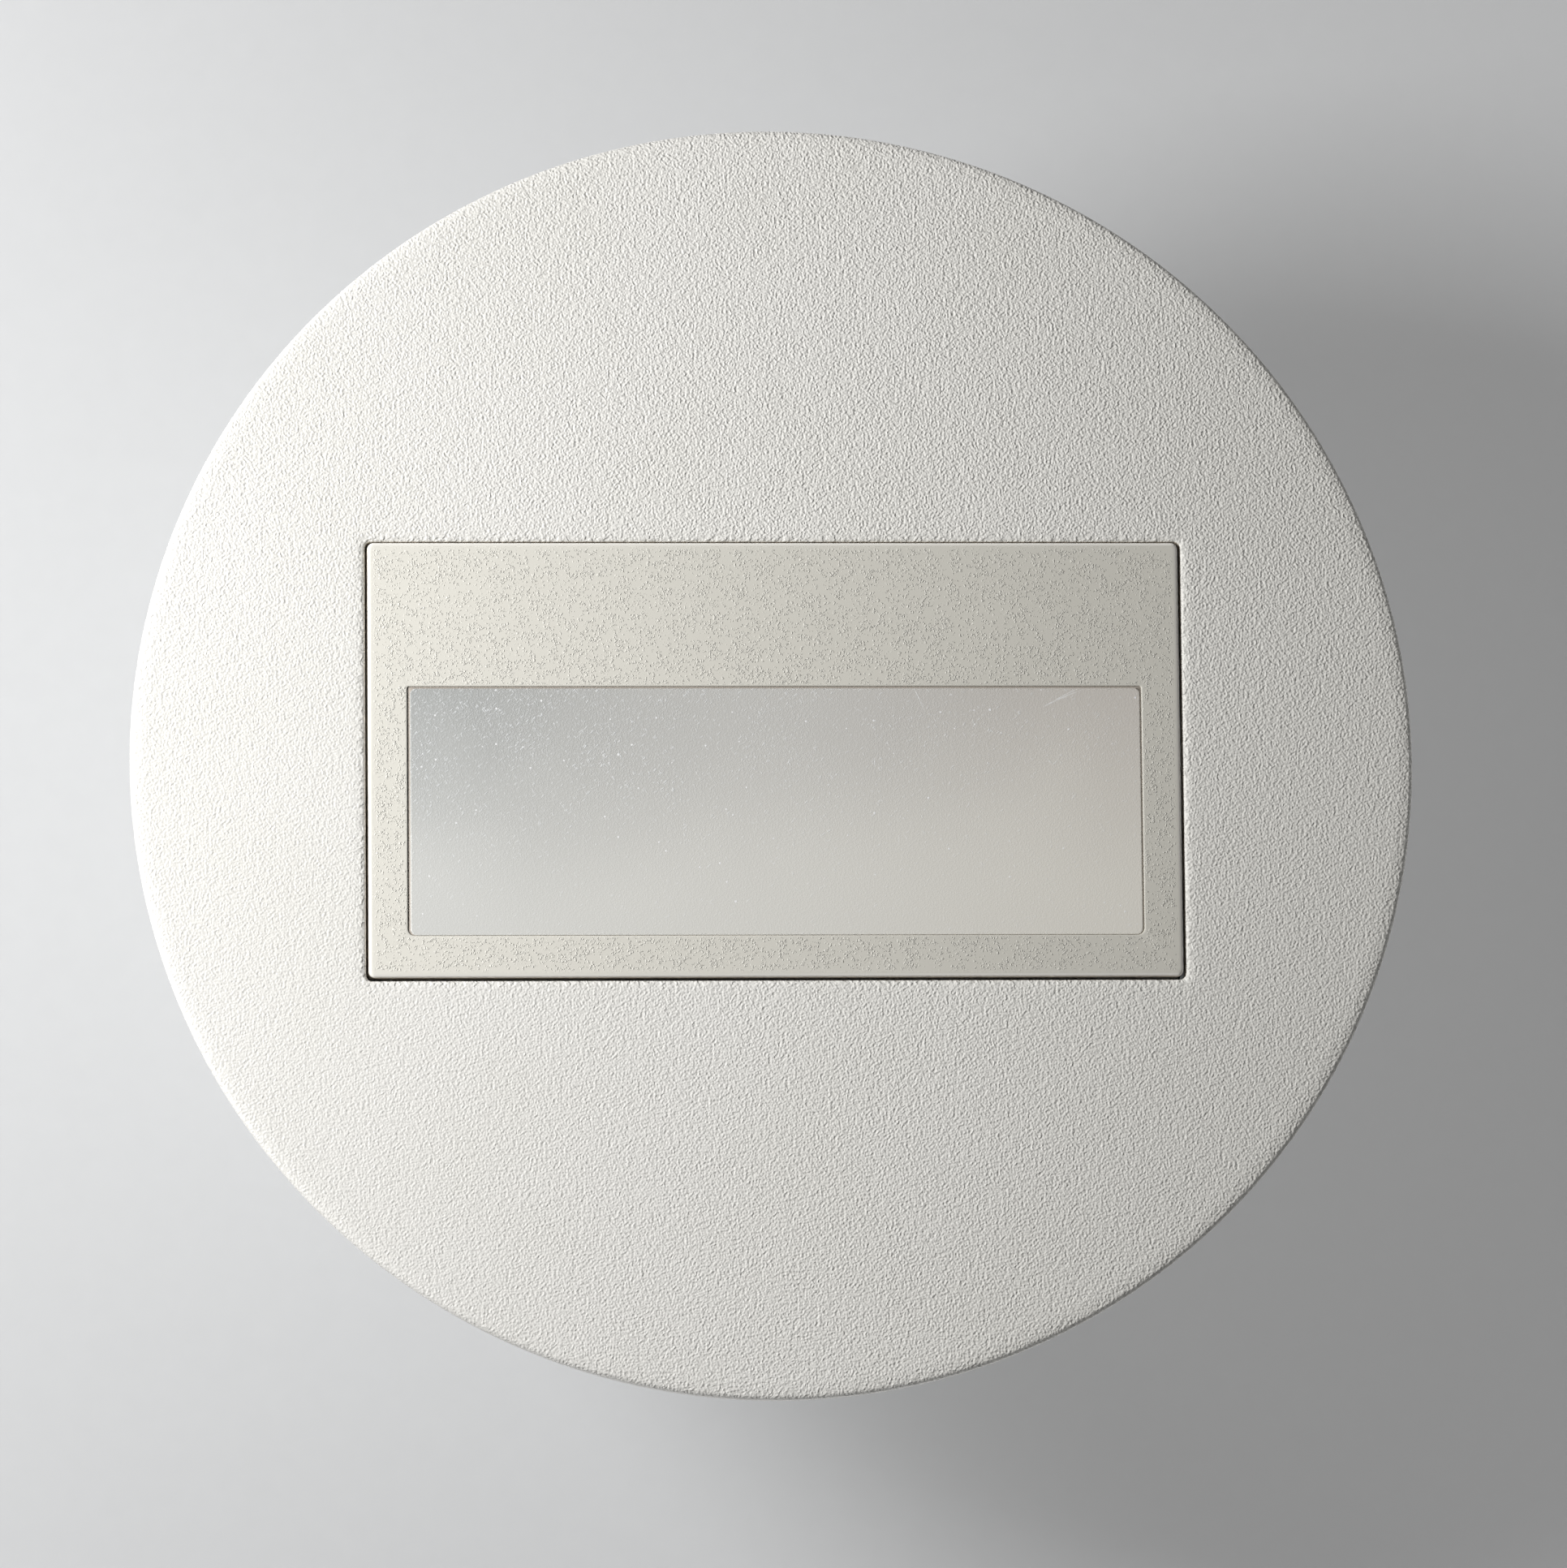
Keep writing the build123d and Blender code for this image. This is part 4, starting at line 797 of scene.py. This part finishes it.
# Torsion springs. The coil is wound round the pin from the leg on the can to the leg on the arm,
# which stands at the arm's rest angle.
def spring(side):
    wire_radius = 0.3
    mean_radius = 1.9
    pitch = 1.1
    turns = 4
    rest_angle = 27.114
    can_leg = 3.1
    arm_leg = 6.0
    steps_per_turn = 40
    pin = Vector((0, 26.6, -8.0))
    wound_turns = turns + rest_angle / 360
    steps = round(steps_per_turn * wound_turns)
    start = pin + Vector((-pitch * turns / 2, 0, -mean_radius))
    bm = bmesh.new()
    first = wire_end(bm, start * MM, wire_radius * MM, 14)
    pull_out(bm, [first], (0, -can_leg * MM, 0))
    wound = bmesh.ops.spin(
        bm, geom=[first], cent=pin * MM, axis=(1, 0, 0), dvec=(pitch * wound_turns / steps * MM, 0, 0),
        angle=radians(360 * turns + rest_angle), steps=steps,
    )
    last = faces_of(wound, "geom_last")
    reach = Vector((0, cos(radians(rest_angle)), sin(radians(rest_angle)))) * arm_leg * MM
    pull_out(bm, last, reach)
    drop_faces(bm, last + [first])
    bmesh.ops.remove_doubles(bm, verts=bm.verts, dist=merge_distance)
    if side < 0:
        bmesh.ops.rotate(bm, verts=bm.verts, cent=(0, 0, 0), matrix=Matrix.Rotation(pi, 3, "Z"))
    end_name = "top" if side > 0 else "bottom"
    coil = piece_from(end_name + "_spring", bm, "spring_steel", None, "clip_spring_" + end_name)
    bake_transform(coil)


spring(1)
spring(-1)


# LED leads: insulated wire over the board's edge and down to the driver board
def lead(name, x, slot, node):
    low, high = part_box(node)
    radius = (high.x - low.x) / 2
    bend = 3.0 * MM
    top = high.z - radius
    turn_y = high.y - radius - bend
    bm = bmesh.new()
    first = wire_end(bm, (x * MM, low.y, top), radius, 20)
    front = pull_out(bm, [first], (0, turn_y - low.y, 0))
    bent = bmesh.ops.spin(
        bm, geom=front, cent=(x * MM, turn_y, top - bend), axis=(1, 0, 0), angle=-pi / 2, steps=16
    )
    last = faces_of(bent, "geom_last")
    pull_out(bm, last, (0, 0, low.z - (top - bend)))
    drop_faces(bm, front + last)
    bmesh.ops.remove_doubles(bm, verts=bm.verts, dist=merge_distance)
    round_edges(bm, 0.12, 2, least_angle=60)
    piece_from(name, bm, slot, "light_module", node)


lead("red_lead", 3.0, "lead_red", "led_lead_positive")
lead("black_lead", -3.0, "lead_black", "led_lead_negative")


# Stage

def area_light(name, azimuth, elevation, distance, width, height, power, target):
    """A soft lamp that faces target, placed round it by angles in degrees and millimetres."""
    lamp = bpy.data.lights.new(name, "AREA")
    lamp.shape = "RECTANGLE"
    lamp.size = width * MM
    lamp.size_y = height * MM
    lamp.energy = power
    made = placed(name, lamp)
    turn, rise = radians(azimuth), radians(elevation)
    out = Vector((cos(turn) * cos(rise), sin(turn) * cos(rise), sin(rise)))
    made.location = (Vector(target) + out * distance) * MM
    made.rotation_mode = "QUATERNION"
    made.rotation_quaternion = out.to_track_quat("Z", "Y")
    made.visible_camera = False


# The window light stands to the left. The others shine up through the floor, on the can and on
# the underside of the cover, and leave the front alone.
can_middle = (0, 0, -14)
area_light("window_light", 169, 33, 197, 70, 70, 0.48, (0, 0, 3))
low_lights = (("right", 0, 0.5), ("top", 90, 0.5), ("left", 180, 0.12), ("bottom", 270, 0.5))
for side, azimuth, power in low_lights:
    area_light("low_light_" + side, azimuth, -32, 420, 260, 200, power, can_middle)
area_light("back_light", 135, -80, 420, 300, 300, 0.6, can_middle)

floor_gap = 0.05
floor_bm = bmesh.new()
bmesh.ops.create_grid(floor_bm, x_segments=1, y_segments=1, size=3.0)
bmesh.ops.translate(floor_bm, verts=floor_bm.verts, vec=(0, 0, cad_low.z - floor_gap * MM))
floor_mesh = bpy.data.meshes.new("pale_floor")
floor_bm.to_mesh(floor_mesh)
floor_bm.free()
floor = placed("pale_floor", floor_mesh)

# Pale floor. It glows a little where it is seen, and most far from the light. Shadow rays and views
# from below go through it, so that the lamps beneath reach the can and its back shows.
ground = Finish("pale_floor", Roughness=0.9, Specular_IOR_Level=0.1, Emission_Strength=1.0)
speckle = ground.noise(1.5, 3.0)
ground.set("Base Color", ground.blend(speckle, tone(182, 183, 184), tone(186, 187, 188)))
reach = ground.node("VectorMath", {"operation": "LENGTH"}, {0: ground.place}, "Value")
seen_floor = ground.node("LightPath", output="Is Camera Ray")
for kind in ("Glossy", "Transmission"):
    seen_floor = ground.most(seen_floor, ground.node("LightPath", output="Is " + kind + " Ray"))
far = ground.step(reach, 60.0, 320.0)
glow = ground.blend(far, (0.20, 0.20, 0.20, 1.0), (0.62, 0.62, 0.62, 1.0))
ground.set("Emission Color", ground.blend(seen_floor, (0.0, 0.0, 0.0, 1.0), glow))
clear = ground.node("BsdfTransparent")
behind = ground.node("NewGeometry", output="Backfacing")
shadow_ray = ground.node("LightPath", output="Is Shadow Ray")
see_through = ground.most(behind, shadow_ray)
mixed = ground.node(
    "MixShader", sockets={0: see_through, 1: Link(ground, ground.shader.outputs[0]), 2: clear}
)
output = next(n for n in ground.tree.nodes if n.type == "OUTPUT_MATERIAL")
ground.tree.links.new(mixed.socket, output.inputs["Surface"])
floor_mesh.materials.append(ground.material)

# Studio surroundings: dim as a light on the object, pale where they are seen, also in a mirror or
# through glass
world = bpy.data.worlds.new("studio")
bpy.context.scene.world = world
world.use_nodes = True
sky = world.node_tree
rays = sky.nodes.new("ShaderNodeLightPath")
seen = rays.outputs["Is Camera Ray"]
for kind in ("Glossy", "Transmission"):
    larger = sky.nodes.new("ShaderNodeMath")
    larger.operation = "MAXIMUM"
    sky.links.new(seen, larger.inputs[0])
    sky.links.new(rays.outputs["Is " + kind + " Ray"], larger.inputs[1])
    seen = larger.outputs[0]
levels = sky.nodes.new("ShaderNodeMapRange")
levels.inputs["To Min"].default_value = 0.115
levels.inputs["To Max"].default_value = 0.8
sky.links.new(seen, levels.inputs["Value"])
sky.links.new(levels.outputs[0], sky.nodes["Background"].inputs["Strength"])
sky.nodes["Background"].inputs["Color"].default_value = (1.0, 1.0, 1.0, 1.0)

# Camera, fitted to the outline of the cover and the corners of its opening
lens_px = 13500.0
image_px = 1932
camera = bpy.data.cameras.new("photo_view")
camera.sensor_width = 36.0
camera.lens = lens_px * camera.sensor_width / image_px
camera.clip_start = 0.01
camera.clip_end = 20.0
turned = (
    Matrix.Rotation(-0.1551, 4, "X") @ Matrix.Rotation(0.0537, 4, "Y") @ Matrix.Rotation(0.0095, 4, "Z")
)
seen_from = Matrix.Translation(Vector((-0.64, 1.54, -682.1)) * MM)
onto_cover = Matrix.Translation((0, 0, -cover_front * MM))
viewer = placed("photo_view", camera)
viewer.matrix_world = (seen_from @ turned @ onto_cover).inverted()
bpy.context.scene.camera = viewer
bpy.context.scene.view_settings.view_transform = "Standard"
